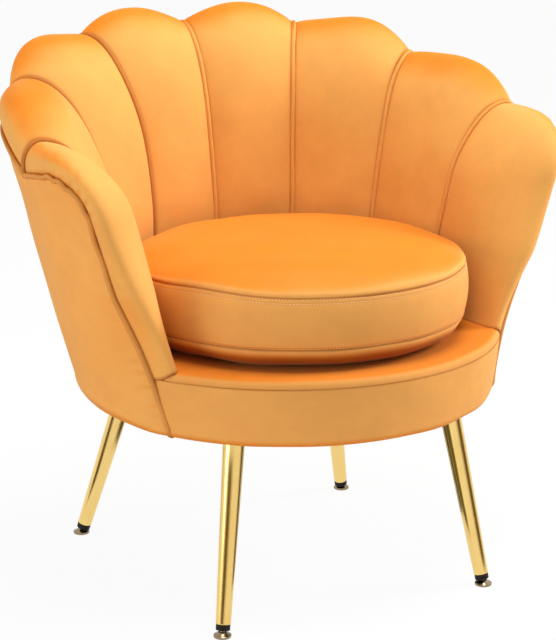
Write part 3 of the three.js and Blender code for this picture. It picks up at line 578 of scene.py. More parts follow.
arm = Values(
    footAngle=121.4,  # where the shell's front edge meets the underside
    topAngle=110,
    topHeight=0.562,
    sweepShare=0.51,
    shoulderAngle=100,
    shoulderHeight=0.611,
    innerSwell=[(0, 0.9), (1, 0.68), (2, 0.4)],  # at the deck, below the shoulder and on top
    outerSwell=[(0, 0.52), (1, 0.58), (2, 0.46)],
    crease=[(0, 2), (1, 30), (2, 6)],  # degrees
    proud=[(0, 0), (1, 33), (2, 29)],
    gatherDepth=0.0006,  # small folds where the cloth is drawn in round the shoulder
    gatherPitch=0.014,
    gatherStray=1.6,
    gatherSize=0.09,
    gatherReach=0.030,
    gatherOff=0.006,  # flat again this close to the welt
    gatherBegins=(0.75, 1.2),  # along the edge
    gatherEnds=(1.9, 2.3),
    footReach=0.022,  # how far from the welt the foot follows the deck's edge down
    postMargin=0.004,
    deckShare=0.3,  # of the arm's front, over which the channel follows the deck
    seamNarrow=1.4,  # its seams' painted shade is this much narrower
    frontLength=0.2,  # about how far a step of 1 goes up its front
)
seamEnd = shell.seams[-1]


def degreesOf(angle):  # from the back's middle, to either side
    return np.degrees(np.abs(angle))


# The wall's radius grows with the climb by the lean, less and less, with a hollow low at the arms.
def wallRadius(angle, z):
    climb = z - shell.footLevel
    hollow = np.sin(pi * within(climb / shell.tuckHeight))
    tuck = shell.tuck * hollow * smooth(degreesOf(angle), shell.tuckAngle, arm.footAngle)
    lean = keyed(degreesOf(angle), shell.lean)
    swell = shell.shoulderSwell * bell(z - shell.shoulderLevel, shell.shoulderReach)
    foot = shell.footRadius - tuck + swell * smooth(degreesOf(angle), *shell.shoulderFrom)
    return foot + lean * climb * (1 - shell.curlShare * climb / shell.height)


# The border stands steeper than the wall and swings out to meet it at the shell's front edges.
def borderRadius(angle, z):
    turn = np.degrees(pi - np.abs(pi - angle))
    share = smooth(turn, arm.footAngle, arm.footAngle + shell.borderBlend)
    centre = shell.footRadius + shell.borderLean * (z - shell.footLevel)
    return mix(wallRadius(radians(arm.footAngle), z), centre, share)


# Points on the wall, or moved into it by an inset.
def onWall(angle, z, inset=0.0):
    return at(wallRadius(angle, z) - inset, angle, z)


def alongSeams(angle, values):  # straight-line value between the seams
    return np.interp(degreesOf(angle), shell.seams, values)


# The rim follows the seams' heights, with half a cosine of crest over each channel and a sine of skew.
def rimHeight(angle):
    turn = np.minimum(degreesOf(angle), seamEnd)
    k = np.clip(np.searchsorted(shell.seams, turn) - 1, 0, len(shell.crests) - 1)
    seams = np.array(shell.seams)
    across = 2 * (turn - seams[k]) / (seams[k + 1] - seams[k]) - 1
    crest = np.array(shell.crests)[k] * np.cos(across * pi / 2)
    return alongSeams(angle, shell.rims) + crest + np.array(shell.skews)[k] * np.sin(across * pi)


def weltHeight(angle):  # a fixed drop below the rim
    return rimHeight(angle) - shell.rimDrop


# Radius and height of the shell's section: t runs 0-1 up the straight inside, 1-2 along a quarter
# ellipse into the rim, and 2-3 along a smaller one over it and down to the welt.
def profile(angle, t):
    rim, bend = rimHeight(angle), alongSeams(angle, shell.bends)
    drop = shell.rimDrop - shell.weltGap
    turnIn, turnOver = quarter(t - 1), quarter(3 - t)
    pressed = shell.pressDepth * (1 - smooth(t, 0, shell.pressedShare))
    foot = base.deckTop - base.skin / 2
    rise = mix(foot, rim - bend, within(t)) + bend * np.sin(turnIn)
    z = np.where(t <= 2, rise, rim - drop + drop * np.sin(turnOver))
    inward = shell.depth - pressed - (shell.depth - shell.rimWidth) * (1 - np.cos(turnIn))
    inset = np.where(t <= 2, inward, shell.rimWidth * (1 - np.cos(turnOver)))
    return wallRadius(angle, z) - inset, z


# A point of the section, moved by the swell square to it, away from the wall.
def section(angle, t, swell=0.0):
    step = 0.004
    radius, z = profile(angle, t)
    before, after = profile(angle, np.maximum(t - step, 0)), profile(angle, np.minimum(t + step, 3))
    slope = unit(joined(after[0] - before[0], after[1] - before[1]))
    return at(radius - swell * slope[..., 1], angle, z + swell * slope[..., 0])


def sectionRows(counts):  # values of t: steps up the inside, into the rim and over it
    return np.concatenate([part + np.arange(n) / n for part, n in enumerate(counts)] + [[3.0]])


# Back of the padding: up the inside of the frame, then over the top rail to the welt.
def paddingBack(angle, t):
    top = alongSeams(angle, shell.rims) - shell.rimDrop - base.railBelowWelt
    over = within(t - 2)
    z = mix(base.deckTop, top, within(t / 2))
    z = mix(z, weltHeight(angle) + shell.weltGap, over)
    return onWall(angle, z, mix(base.backInset, base.skin, over))


# Angle of the shell's front edge at a height: from the top down it grows by the run and its square.
def armEdgeAngle(z):
    run = (arm.topHeight - z) / (arm.topHeight - base.underside)
    sweep = arm.footAngle - arm.topAngle
    return arm.topAngle + sweep * (arm.sweepShare * run + (1 - arm.sweepShare) * run * run)


# Front edge of the shell, right side: t is 0-1 up the arm front, 1-2 round the shoulder on a quarter
# ellipse, and 2-3 level to the outermost seam. Angles in degrees.
def armEdge(t, start):
    low = mix(start, arm.topHeight, within(t))
    turn, over = quarter(t - 1), within(t - 2)
    end = shell.rims[-1] - shell.rimDrop
    angle = np.where(t <= 1, armEdgeAngle(low), mix(arm.shoulderAngle, arm.topAngle, np.cos(turn)))
    angle = np.where(t > 2, mix(arm.shoulderAngle, seamEnd, over), angle)
    z = np.where(t <= 1, low, mix(arm.topHeight, arm.shoulderHeight, np.sin(turn)))
    return angle, np.where(t > 2, mix(arm.shoulderHeight, end, over), z)


# The edge moved within the wall's surface by an offset, with the direction of that move.
def armEdgePoint(t, offset, start):
    step = 0.08
    before, after = armEdge(np.maximum(t - step, 0), start), armEdge(np.minimum(t + step, 3), start)
    angle, z = armEdge(t, start)
    radius = wallRadius(np.radians(angle), z)
    along = unit(joined(np.radians(after[0] - before[0]) * radius, after[1] - before[1]))
    level = smooth(t, 1.9, 2.05)[..., None]  # past the shoulder the way is straight up
    away = unit(mix(joined(along[..., 1], -along[..., 0]), np.array([0.0, 1.0]), level))
    return np.radians(angle) + offset * away[..., 0] / radius, z + offset * away[..., 1], away


# A hand-built back: its channels sit a little to the right, and the left ones are fuller.
uneven = Values(
    shift=0.0035,
    shiftLevels=(0.36, 0.50),
    fuller=0.012,
    level=0.57,
    reach=0.11,
    begins=(0, 25),  # degrees to the left
    ends=(60, 85),
    fades=(1.75, 2.6),  # along the section
)


# The shift in x grows with height. Left of the middle it has a hump at one level, and over the rim it
# fades out.
def settled(points, t):
    turn = np.degrees(np.arctan2(-points[..., 0], points[..., 1] - seatY))
    side = smooth(turn, *uneven.begins) * (1 - smooth(turn, *uneven.ends))
    z = points[..., 2]
    hump = uneven.fuller * side * bell(z - uneven.level, uneven.reach)
    shift = uneven.shift * smooth(z, *uneven.shiftLevels) * (1 - smooth(turn, *uneven.ends))
    shift = (shift + hump) * (1 - smooth(t, *uneven.fades))
    return points + shift[..., None] * np.array([1.0, 0, 0])


# Height of the deck under a point: level, then down a quarter ellipse at the front edge.
def deckHeight(points):
    x, y = points[..., 0], points[..., 1] - seatY
    radius, angle = np.hypot(x, y), np.arctan2(np.abs(x), y)
    edge = borderRadius(np.maximum(angle, radians(arm.footAngle)), base.borderTop)
    into = within((radius - edge + base.deckInset) / base.deckInset)
    drop = (base.deckTop - base.borderTop) * (1 - np.sqrt(np.maximum(1 - into**2, 0)))
    return base.deckTop - drop * smooth(np.degrees(angle), *base.deckFront)


# Channels of the back
channel = Values(
    rows=(40, 56, 34),
    columns=60,
    overLength=0.045,  # how far the section runs over the rim
    creaseWidth=0.0027,  # how far the painted shade of a seam reaches
    creaseDark=0.95,
    unevenDepth=0.0007,
    unevenSize=0.085,
    turnedShare=0.6,  # of an arm channel's columns, where its back turns round the arm post
)


# A channel swells past its seams by a power of a parabola across its width, less beside the cushion
# and over the rim.
def backChannel(k):
    t = sectionRows(channel.rows)
    across = -np.cos(pi * np.arange(channel.columns + 1) / channel.columns)[:, None]
    left, right = np.radians(shell.seams[k]), np.radians(shell.seams[k + 1])
    gap = shell.pipeGap / profile((left + right) / 2, t)[0]
    angle = mix(left + gap, right - gap, (across + 1) / 2)
    puff = shell.puff * np.maximum(1 - across**2, 0) ** shell.puffPower
    pressed = mix(shell.lowPuff, 1, smooth(t, 0, shell.pressedShare))
    fade = np.where(t > 2, np.sin(quarter(3 - t)), pressed)
    face = section(angle, t, puff * fade)
    soft = (1 - across**2) * fade * channel.unevenDepth
    soft = soft * unevenness(face, channel.unevenSize, 11 + k)
    face = face + gridNormals(face) * soft[..., None]
    width = (right - left) / 2 * shell.footRadius
    # Painted crease shade: dark beside each seam and where the cloth turns down to the welt
    crease = bell((1 - np.abs(across)) * width, channel.creaseWidth) + 0 * angle
    crease = np.maximum(crease, bell((3 - t) * channel.overLength, channel.creaseWidth))
    return face, paddingBack(angle, t), crease * channel.creaseDark, t


# Arm channel: each section is a cubic curve from the outermost seam to the front edge. It leaves the
# seam straight beside the cushion, swells above it and flattens over the shoulder.
def armChannel():
    t = sectionRows(channel.rows)
    seamAngle = radians(seamEnd)
    start = section(seamAngle + shell.pipeGap / profile(seamAngle, t)[0], t)
    angle, z, away = armEdgePoint(t, shell.weltGap, base.borderTop)
    angle = np.maximum(angle, seamAngle + shell.pipeGap / shell.footRadius)
    end = onWall(angle, z)
    width = np.linalg.norm(end - start, axis=-1, keepdims=True)
    swelling = section(seamAngle, t, 1.0) - section(seamAngle, t)
    crease = np.radians(keyed(t, arm.crease))[:, None]
    leave = sidewaysAt(seamAngle) * np.cos(crease) + swelling * np.sin(crease)
    proud = np.radians(keyed(t, arm.proud))[:, None]
    arrive = sidewaysAt(angle) * away[:, :1] + np.array([0, 0, 1]) * away[:, 1:]
    arrive = arrive * np.cos(proud) + outwardAt(angle) * np.sin(proud)
    inner = start + leave * keyed(t, arm.innerSwell)[:, None] * width
    outer = end + arrive * keyed(t, arm.outerSwell)[:, None] * width
    c = (np.arange(channel.columns + 1) / channel.columns)[:, None, None]
    s = (1 - np.cos(pi * c)) / 2
    r = 1 - s
    face = r**3 * start + 3 * s * r**2 * inner + 3 * s**2 * r * outer + s**3 * end
    soft = channel.unevenDepth * unevenness(face, channel.unevenSize, 17)
    soft = soft * np.sin(pi * s[..., 0])
    fromEdge = (1 - s[..., 0]) * width[:, 0]
    stray = arm.gatherStray * unevenness(face, arm.gatherSize, 18)
    folds = np.sin(2 * pi * runsAlong(end) / arm.gatherPitch + stray)
    drawn = smooth(t, *arm.gatherBegins) * (1 - smooth(t, *arm.gatherEnds)) * bell(fromEdge, arm.gatherReach)
    drawn = drawn * (1 - bell(fromEdge, arm.gatherOff))
    face = face + gridNormals(face) * (soft + arm.gatherDepth * drawn * folds)[..., None]
    behindAngle, behindZ, _ = armEdgePoint(t, -arm.postMargin, base.deckTop)
    behind = onWall(behindAngle, np.maximum(behindZ, base.deckTop), base.backInset)
    low = paddingBack(seamAngle + shell.pipeGap / shell.footRadius, t)
    turned = channel.turnedShare
    reach = within(c / turned) * np.where(t > 2, 0, 1)[None, :, None]
    around = mix(behind, onWall(angle, z, base.skin), (c - turned) / (1 - turned))
    back = np.where(c <= turned, mix(low, behind, reach), around)
    for grid in (face, back):  # the foot of the channel follows the deck
        lift = base.skin / 2 + grid[:, :1, 2]
        toDeck, toLevel = deckHeight(grid) - lift, base.deckTop - lift
        share = np.maximum(bell(fromEdge, arm.footReach), float(grid is back))
        grid[..., 2] += mix(toLevel, toDeck, share) * (1 - smooth(t, 0, arm.deckShare))
    # Painted crease shade: dark beside the seam, beside the welt at the front edge, and at the foot against
    # the deck
    reach = np.minimum(s[..., 0] * width[:, 0], fromEdge) * arm.seamNarrow
    reach = np.minimum(reach, t * arm.frontLength)
    return face, back, bell(reach, channel.creaseWidth) * channel.creaseDark, t


# Four channels on the right, and their mirror images on the left.
def addChannels():
    for k in range(4):
        face, back, crease, t = armChannel() if k == 3 else backChannel(k)
        for side in ("right", "left"):
            turned = mirrored if side == "left" else np.copy
            name = f"velvet_channel_{side}_{k + 1}"
            piece = wallMesh(name, settled(turned(face), t), turned(back), sharpAngle=70)
            setField(piece, "crease", np.concatenate([crease, np.ones_like(crease)], axis=1))
            cloth = armCloth if k == 3 else channelCloth
            finished(piece, "chair", "velvet", cloth, f"channel_{side}_{k + 1}")


addChannels()
print("channels made")

# Piping in the seams, and the welt round the shell's edge
piping = Values(
    radius=0.0034,
    proud=0.0016,
    wander=0.0004,  # a hand-fed cord is never quite straight
    wanderTurns=9.0,
    rows=(60, 60, 30),
    weltRadius=0.0039,
    weltProud=0.0021,
    proudRise=0.06,  # height over which it comes to stand proud
    weltSink=0.0020,  # it dives into the cover at its ends
    weltWander=0.0013,  # most round the shoulder
    waveBegins=(0.55, 1.0),  # along the edge
    waveEnds=(1.9, 2.4),
    waveRest=0.25,  # share of it that stays elsewhere
    weltRows=(109, 69, 29),
    weltBackRows=160,
    footStart=0.2,  # of the bend under the foot
    shade=0.0,
    leftShade=0.60,  # painted shade on the left side's cords, not on the others
    # painted shade all along the welt's cord
    weltShade=0.28,
)


# Each cord follows its seam's section, a little proud of it, with a sine of wander sideways.
def addPiping():
    t = sectionRows(piping.rows)
    for k, seam in enumerate(shell.seams):
        pair = [("centre", 1)] if k == 0 else [(f"right_{k}", 1), (f"left_{k}", -1)]
        for name, side in pair:
            angle = radians(seam)
            wander = piping.wander * np.sin(t * piping.wanderTurns + 2.0 * k + side)
            route = section(angle, t, piping.proud) + wander[:, None] * sidewaysAt(angle)
            outward = section(angle, t, 1.0) - section(angle, t)
            if side < 0:
                route, outward = mirrored(route), mirrored(outward)
            piece = cordMesh(f"piping_{name}", settled(route, t), piping.radius, outward)
            # Painted shade: the left side's cords are darkened, the centre and right ones are not
            setField(piece, "crease", piping.leftShade if side < 0 else piping.shade)
            finished(piece, "chair", "velvet_piping", pipingCloth, f"seam_piping_{name}")


hemInner = float(wallRadius(0.0, base.underside + base.sideBend)) - base.sideBend - base.hem


# Radius and height at the foot: a flat hem, then a quarter round of the bend.
def footSection(share, radius, bend, depth):
    turn = share * pi / 2
    reach = bend - depth
    return radius - bend + reach * np.sin(turn), base.underside + bend - reach * np.cos(turn)


# The welt starts under the foot, climbs the arm's front and follows the rim round to the other arm.
def weltRoute():
    start = base.underside + base.frontBend
    t = sectionRows(piping.weltRows)[:-1]
    angle, z, _ = armEdgePoint(t, 0, start)
    shoulder = smooth(t, *piping.waveBegins) * (1 - smooth(t, *piping.waveEnds))
    shoulder = shoulder + piping.waveRest * smooth(t, 0.0, 0.1)
    wave = piping.weltWander * shoulder * np.sin(t * 19.0 + 1.5 * np.sin(t * 7.0))
    angle = angle + np.where(t < 1.5, wave / shell.footRadius, 0)
    z = z + np.where(t >= 1.5, wave, 0)
    backAngle = np.radians(np.linspace(seamEnd, 0, piping.weltBackRows))
    angle, z = np.concatenate([angle, backAngle]), np.concatenate([z, weltHeight(backAngle)])
    proud = mix(0.0, piping.weltProud, smooth(z, start, start + piping.proudRise))
    right = onWall(angle, z, -proud)
    turn = np.linspace(piping.footStart, 1, 12)[:-1]
    sink = piping.weltSink * (1 - smooth(turn, piping.footStart, 1))
    radius, low = footSection(turn, wallRadius(angle[0], start), base.frontBend, sink)
    right = np.concatenate([at(radius, angle[0], low), right])
    return np.concatenate([right, mirrored(right[::-1])[1:]])


# A round cord along the welt's route.
def addWelt():
    route = weltRoute()
    piece = cordMesh("edge_welt_cord", route, piping.weltRadius, fromAxis(route))
    setField(piece, "crease", piping.weltShade)
    finished(piece, "chair", "velvet_piping", pipingCloth, "edge_welt")


addPiping()
addWelt()
print("piping and welt made")

# Outer cover and front border
cover = Values(
    sideColumns=44,
    backColumns=150,
    bendRows=10,
    wallRows=90,
    armRowShare=0.625,  # of the rows, up to the turn of the shoulder
    puckerDepth=0.0020,
    puckerReach=0.026,
    puckerPitch=0.023,
    puckerOff=0.004,  # flat again this close to the welt
    puckerStray=2.0,  # how far the folds leave their even pitch
    puckerSize=0.11,
    puckerApart=0.16,  # size of the places that have them
    puckerPlaces=(-0.3, 1.2),
    unevenDepth=0.0008,
    unevenSize=0.14,
    unevenOff=0.03,
    wallLength=0.35,  # about how far it is from the hem to the welt
    sideLength=0.19,  # and from the front edge to the outermost seam
)


# A surface from the hem round the foot and up the wall. Depth moves a point into it.
def footed(wall, angle, radius, bend, depth):
    turn = np.linspace(0, 1, cover.bendRows)[None, :-1]
    radius, low = footSection(turn, radius, bend, depth)
    hem = at(hemInner, angle[:, :1], base.underside + depth)
    return np.concatenate([hem, at(radius, angle[:, :1], low), wall], axis=1)


# The cover's grid: columns go from the left arm's edge round the back to the right arm's, rows from
# the hem round the foot and up to the welt. Depth moves a point into the wall.
def coverGrid(depth):
    out = 1 - np.arange(cover.sideColumns) / cover.sideColumns
    half = cover.backColumns // 2
    side = np.concatenate([out, np.zeros(half + 1)])[:, None]
    backAngle = np.concatenate([np.full(len(out), seamEnd), np.linspace(seamEnd, 0, half + 1)])[:, None]
    share = np.linspace(0, 1, cover.wallRows)[None, :]
    armShare = cover.armRowShare
    t = np.where(share <= armShare, share / armShare, 1 + 2 * (share - armShare) / (1 - armShare))
    edgeAngle, edgeZ, _ = armEdgePoint(t, -shell.weltGap, base.underside + base.frontBend)
    backAngle = np.radians(backAngle)
    backZ = mix(base.underside + base.sideBend, weltHeight(backAngle) - shell.weltGap, share)
    angle, z = mix(backAngle, edgeAngle, side), mix(backZ, edgeZ, side)
    bend = mix(base.sideBend, base.frontBend, side)
    grid = footed(onWall(angle, z, depth), angle, wallRadius(angle[:, :1], z[:, :1]), bend, depth)
    toRim = np.concatenate([np.ones((1, cover.bendRows)), cover.wallLength * (1 - share)], axis=1)
    toSide = np.where(side > 0, (1 - side) * cover.sideLength, 1.0)
    return grid, np.minimum(toRim, toSide)


def bothSides(grid):  # the left half and its mirror image, joined at the back's middle
    return np.concatenate([mirrored(grid), grid[::-1][1:]], axis=0)


# Puckers are sines along the rows that fade from the welt; a soft unevenness lies over the rest.
def addCover():
    face, toWelt = coverGrid(0.0)
    back, _ = coverGrid(base.skin)
    face, back = bothSides(face), bothSides(back)
    toWelt = np.concatenate([toWelt, toWelt[::-1][1:]], axis=0)
    near = bell(toWelt, cover.puckerReach) * (1 - bell(toWelt, cover.puckerOff))
    stray = cover.puckerStray * unevenness(face, cover.puckerSize, 5)
    folds = np.sin(2 * pi * runsAlong(face) / cover.puckerPitch + stray)
    places = smooth(unevenness(face, cover.puckerApart, 6), *cover.puckerPlaces)
    lift = cover.puckerDepth * near * folds * places
    soft = cover.unevenDepth * unevenness(face, cover.unevenSize, 7)
    lift = lift + soft * smooth(toWelt, 0.0, cover.unevenOff)
    face = face + outwardNormals(face) * lift[..., None]
    piece = wallMesh("velvet_outer_cover", face, back, sharpAngle=60)
    # Painted crease shade along the welt
    crease = channel.creaseDark * bell(toWelt, channel.creaseWidth)
    setField(piece, "crease", np.concatenate([crease, np.zeros_like(crease)], axis=1))
    finished(piece, "chair", "velvet", velvetCloth, "outer_cover")


border = Values(
    columns=150,
    rows=34,
    bulge=0.0016,
    unevenDepth=0.0005,
    unevenSize=0.09,
    seamDark=0.55,
    seamWidth=0.0012,
    shade=0.08,  # painted shade laid all over it, the least it has anywhere
)


# The border's grid: from one front edge of the shell to the other, with a sine of bulge up its height.
def borderGrid(depth):
    share = np.linspace(0, 1, border.rows)[None, :]
    low = base.underside + base.frontBend
    z = mix(low, base.borderTop, share)
    gap = shell.weltGap / shell.footRadius
    across = np.linspace(0, 1, border.columns)[:, None]
    end = np.radians(armEdgeAngle(z)) + gap
    angle = mix(end, 2 * pi - end, across)
    bulge = border.bulge * np.sin(pi * share) if depth == 0 else 0
    wall = at(borderRadius(angle, z) - depth + bulge, angle, z)
    return footed(wall, angle, borderRadius(angle[:, :1], low), base.frontBend, depth)


# Fine unevenness lies on its face, and the dark of the seam along its top.
def addBorder():
    face, back = borderGrid(0.0), borderGrid(base.borderPad)
    soft = border.unevenDepth * unevenness(face, border.unevenSize, 8)
    face = face + outwardNormals(face) * soft[..., None]
    piece = wallMesh("velvet_front_border", face, back, sharpAngle=60)
    # Painted shade: dark along the seam at its top, and a little all over
    seam = bell(base.borderTop - face[..., 2], border.seamWidth)
    crease = np.maximum(border.seamDark * seam, border.shade)
    setField(piece, "crease", np.concatenate([crease, crease], axis=1))
    finished(piece, "chair", "velvet", velvetCloth, "front_border")


addCover()
addBorder()
print("cover and border made")

# Deck under the cushion
deck = Values(around=200, lipRows=12, topRows=26, thickness=0.0025, fit=0.0003, lap=0.006, shade=0.22)


# The deck's section by angle: out along its underside, up the lip, a quarter round and back in over
# the top. In front it reaches the border, and behind it stops under the channels.
def addDeck():
    angle = (2 * pi * np.arange(deck.around) / deck.around)[:, None]
    turn = np.degrees(pi - np.abs(pi - angle))
    front = smooth(turn, base.railAngle, arm.footAngle)
    inside = shell.footRadius - base.deckMargin
    edge = borderRadius(angle, base.borderTop)
    outer = mix(inside, edge, front)
    lip = mix(base.deckTop - deck.thickness, base.borderTop + deck.fit, front)
    turning = np.linspace(0, pi / 2, deck.lipRows)[None, :]
    rim = outer - base.deckInset * (1 - np.cos(turning)) * front
    rise = lip + (base.deckTop - lip) * np.sin(turning)
    shares = np.linspace(1, 0, deck.topRows)[None, 1:]
    top = (outer - base.deckInset * front) * shares
    under = np.concatenate([0 * outer, outer - base.borderPad - deck.lap], axis=1)
    middle = np.full_like(outer, base.deckTop - deck.thickness)
    radius = np.concatenate([under, rim, top], axis=1)
    level = np.full_like(top, base.deckTop)
    height = np.concatenate([middle, np.minimum(middle, lip), rise, level], axis=1)
    grid = at(radius, angle, height)
    piece = roundMesh("velvet_deck", grid, sharpAngle=60)
    # Painted shade: dark along the seam with the border, and a little all over, where the cushion shades it
    seam = border.seamDark * bell(grid[..., 2] - lip, border.seamWidth) * front
    crease = np.maximum(seam, deck.shade)[:, 1:-1].ravel()
    setField(piece, "crease", np.concatenate([crease, np.full(2, deck.shade)]))
    finished(piece, "chair", "velvet", velvetCloth, "deck_cover")


# Cushion: top panel, boxing and bottom panel, puffed by pressure against its seams
cushionLow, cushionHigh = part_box("cushion_boxing")
cushion = Values(
    centreY=(cushionLow.y + cushionHigh.y) / 2,
    radius=0.2340,
    bottom=0.3581,
    bottomSeam=0.3885,
    topSeam=0.4581,
    shoulder=0.016,
    dome=0.017,
    restRadius=0.184,  # of the flat it rests on
    restShare=0.6,  # of the bottom panel's rings, those that lie flat
    bulge=0.0045,
    zipBulge=0.0018,
    zipSpan=(50, 64),  # degrees either side of the back between which the boxing starts to bulge
    cells=72,  # along a quarter of the rim
    boxingRows=[0, 0.03, 0.065, 0.10, 0.16, 0.25, 0.36, 0.5, 0.64, 0.75, 0.84, 0.90, 0.935, 0.97, 1],
    pressure=3.0,
    puffLimit=0.005,
    bending=8.0,
    stretching=12,
    easing=24,  # passes that spread the puff over its neighbours
    seamRise=0.005,  # the top seam is pulled up in front, to the sitter's right
    riseAngle=-150,
    riseSpan=17,
    frames=20,
    seamDepth=0.0016,
    seamWidth=0.0017,
    stitchDepth=0.0004,
    stitchRows=[1, 3, 13],  # of the boxing's rows
    unevenDepth=0.0010,
    unevenSize=0.10,
    seamDark=0.6,
    stitchDark=0.2,
    shade=0.92,  # painted shade below the bottom seam, under the cushion
    shadeFrom=(0.002, 0.030),  # distance from the seam
    middleShade=0.25,
    middleFrom=(0.045, 0.100),
    sideShade=0.10,
    sideFrom=(0.002, 0.020),
)
stitch = Values(pitch=0.0044, length=0.0030, radius=0.00044, lift=0.0002, sides=6)


# A square grid laid on a disc: rings of the square become rings of the disc. Returns the share of
# the radius and the angle.
def discGrid(cells):
    line = np.linspace(-1, 1, cells + 1)
    a, b = np.meshgrid(line, line, indexing="ij")
    wide = np.abs(a) > np.abs(b)
    safeA, safeB = np.where(a == 0, 1, a), np.where(b == 0, 1, b)
    angle = np.where(wide, (pi / 4) * b / safeA, pi / 2 - (pi / 4) * a / safeB)
    radius = np.where(wide, a, b)
    return np.abs(radius), angle + np.where(radius < 0, pi, 0)


def rimLoop(ids):  # the border of a square grid of ids, once round
    return np.concatenate([ids[-1, :-1], ids[::-1, -1][:-1], ids[0, ::-1][:-1], ids[:-1, 0]])


def aroundCushion(radius, angle, z):  # points at a radius and angle round the cushion's middle
    return joined(radius * np.cos(angle), radius * np.sin(angle) + cushion.centreY, z)


def seamRise(angle):  # a bell of height round one place of the top seam
    away = (np.degrees(angle) - cushion.riseAngle + 180) % 360 - 180
    return cushion.seamRise * bell(away, cushion.riseSpan)


# The top's height climbs by a root near the seam and a dome above it; the belly is a quarter ellipse
# down to its resting flat; the boxing bulges by a sine.
def cushionMesh():
    c = cushion
    share, angle = discGrid(c.cells)
    ring = np.sin(share * pi / 2)
    lift = np.maximum(np.cos(share * pi / 2), 0)
    rise = c.shoulder * np.sqrt(lift) + c.dome * lift + seamRise(angle) * smooth(share, 0.5, 1)
    top = aroundCushion(c.radius * ring, angle, c.topSeam + rise)
    turn = quarter((share - c.restShare) / (1 - c.restShare))
    flat = c.restRadius * within(share / c.restShare)
    bellyRadius = np.where(share < c.restShare, flat, mix(c.restRadius, c.radius, np.sin(turn)))
    sag = (c.bottomSeam - c.bottom) * (1 - np.cos(turn))
    belly = aroundCushion(bellyRadius, angle, c.bottom + sag)
    size = (c.cells + 1) ** 2
    topIds = np.arange(size).reshape(c.cells + 1, -1)
    lowIds = topIds + size
    topRing, lowRing = rimLoop(topIds), rimLoop(lowIds)
    boxHeight = c.topSeam - c.bottomSeam
    rimAngle = angle.ravel()[topRing]
    rows = np.array(c.boxingRows)[1:-1, None]
    fromBack = np.abs(np.degrees(rimAngle) % 360 - 90)
    free = smooth(np.minimum(fromBack, 360 - fromBack), *c.zipSpan)
    bulged = c.radius + mix(c.zipBulge, c.bulge, free) * np.sin(pi * rows)
    side = aroundCushion(bulged, rimAngle, mix(c.topSeam + seamRise(rimAngle), c.bottomSeam, rows))
    sideIds = 2 * size + np.arange(side.shape[0] * side.shape[1]).reshape(side.shape[:2])
    stack = np.concatenate([topRing[None], sideIds, lowRing[None]])
    after = np.roll(stack, -1, axis=1)
    panels = [
        quads(topIds[:-1, :-1], topIds[1:, :-1], topIds[1:, 1:], topIds[:-1, 1:]),
        quads(lowIds[:-1, :-1], lowIds[:-1, 1:], lowIds[1:, 1:], lowIds[1:, :-1]),
        quads(stack[:-1], stack[1:], after[1:], after[:-1]),
    ]
    points = np.concatenate([top.reshape(-1, 3), belly.reshape(-1, 3), side.reshape(-1, 3)])
    edgeRun = ((1 - share) * c.radius).ravel()
    boxing = (rows * boxHeight + 0 * rimAngle).ravel()
    fromTop = np.concatenate([edgeRun, np.full(size, -boxHeight), -boxing])
    fromLow = np.concatenate([np.full(size, boxHeight), -edgeRun, boxHeight - boxing])
    piece = meshObject("seat_cushion_velvet", points, panels, sharpAngle=80)
    setField(piece, "fromTop", fromTop)
    setField(piece, "fromLow", fromLow)
    seams = piece.vertex_groups.new(name="seams")
    resting = np.flatnonzero(share.ravel() < c.restShare) + size
    held = stack[1:-1][:, free < 0.5].ravel()
    seams.add(np.concatenate([topRing, lowRing, resting, held]).tolist(), 1.0, "REPLACE")
    return piece, stack


def pulled(items, name, width=3, kind=np.float32):  # one row of numbers for each item
    flat = np.zeros(len(items) * width, kind)
    items.foreach_get(name, flat)
    return flat.reshape(-1, width).squeeze()


def movePoints(mesh, points):  # puts the mesh's points in these places
    mesh.vertices.foreach_set("co", points.astype(np.float32).ravel())
    mesh.update()


# Each pass gives a point the mean move of its neighbours; points that didn't move stay.
def eased(mesh, moved):
    a, b = pulled(mesh.edges, "vertices", 2, np.int32).T
    here, there = np.concatenate([a, b]), np.concatenate([b, a])
    count = np.maximum(np.bincount(here, minlength=len(moved)), 1)
    free = np.linalg.norm(moved, axis=1) > 1e-7
    for _ in range(cushion.easing):
        mean = [np.bincount(here, axis[there], minlength=len(moved)) / count for axis in moved.T]
        moved = joined(*mean) * free[:, None]
    return moved


# Cloth under pressure, held at its seams; each point then moves by no more than the limit.
def puffUp(piece):
    cloth = piece.modifiers.new("puff", "CLOTH")
    settings = cloth.settings
    settings.use_pressure = True
    settings.uniform_pressure_force = cushion.pressure
    settings.effector_weights.gravity = 0
    settings.vertex_group_mass = "seams"
    settings.pin_stiffness = 1.0
    settings.tension_stiffness = settings.compression_stiffness = cushion.stretching
    settings.bending_stiffness = cushion.bending
    cloth.point_cache.frame_start = 1
    cloth.point_cache.frame_end = cushion.frames
    for number in range(1, cushion.frames + 1):
        scene.frame_set(number)
    evaluated = piece.evaluated_get(bpy.context.evaluated_depsgraph_get())
    rest, puffed = (pulled(mesh.vertices, "co").astype(float) for mesh in (piece.data, evaluated.data))
    piece.modifiers.remove(cloth)
    scene.frame_set(1)
    moved = eased(piece.data, puffed - rest)
    length = np.linalg.norm(moved, axis=1, keepdims=True)
    limit = cushion.puffLimit
    movePoints(piece.data, rest + moved * limit * np.tanh(length / limit) / np.maximum(length, 1e-9))


def subdivided(piece):  # once, with the smoothing of subdivision
    modifier = piece.modifiers.new("fine", "SUBSURF")
    modifier.levels = modifier.render_levels = 1
    evaluated = piece.evaluated_get(bpy.context.evaluated_depsgraph_get())
    fine = bpy.data.meshes.new_from_object(evaluated)
    piece.modifiers.remove(modifier)
    piece.data = fine
    return fine


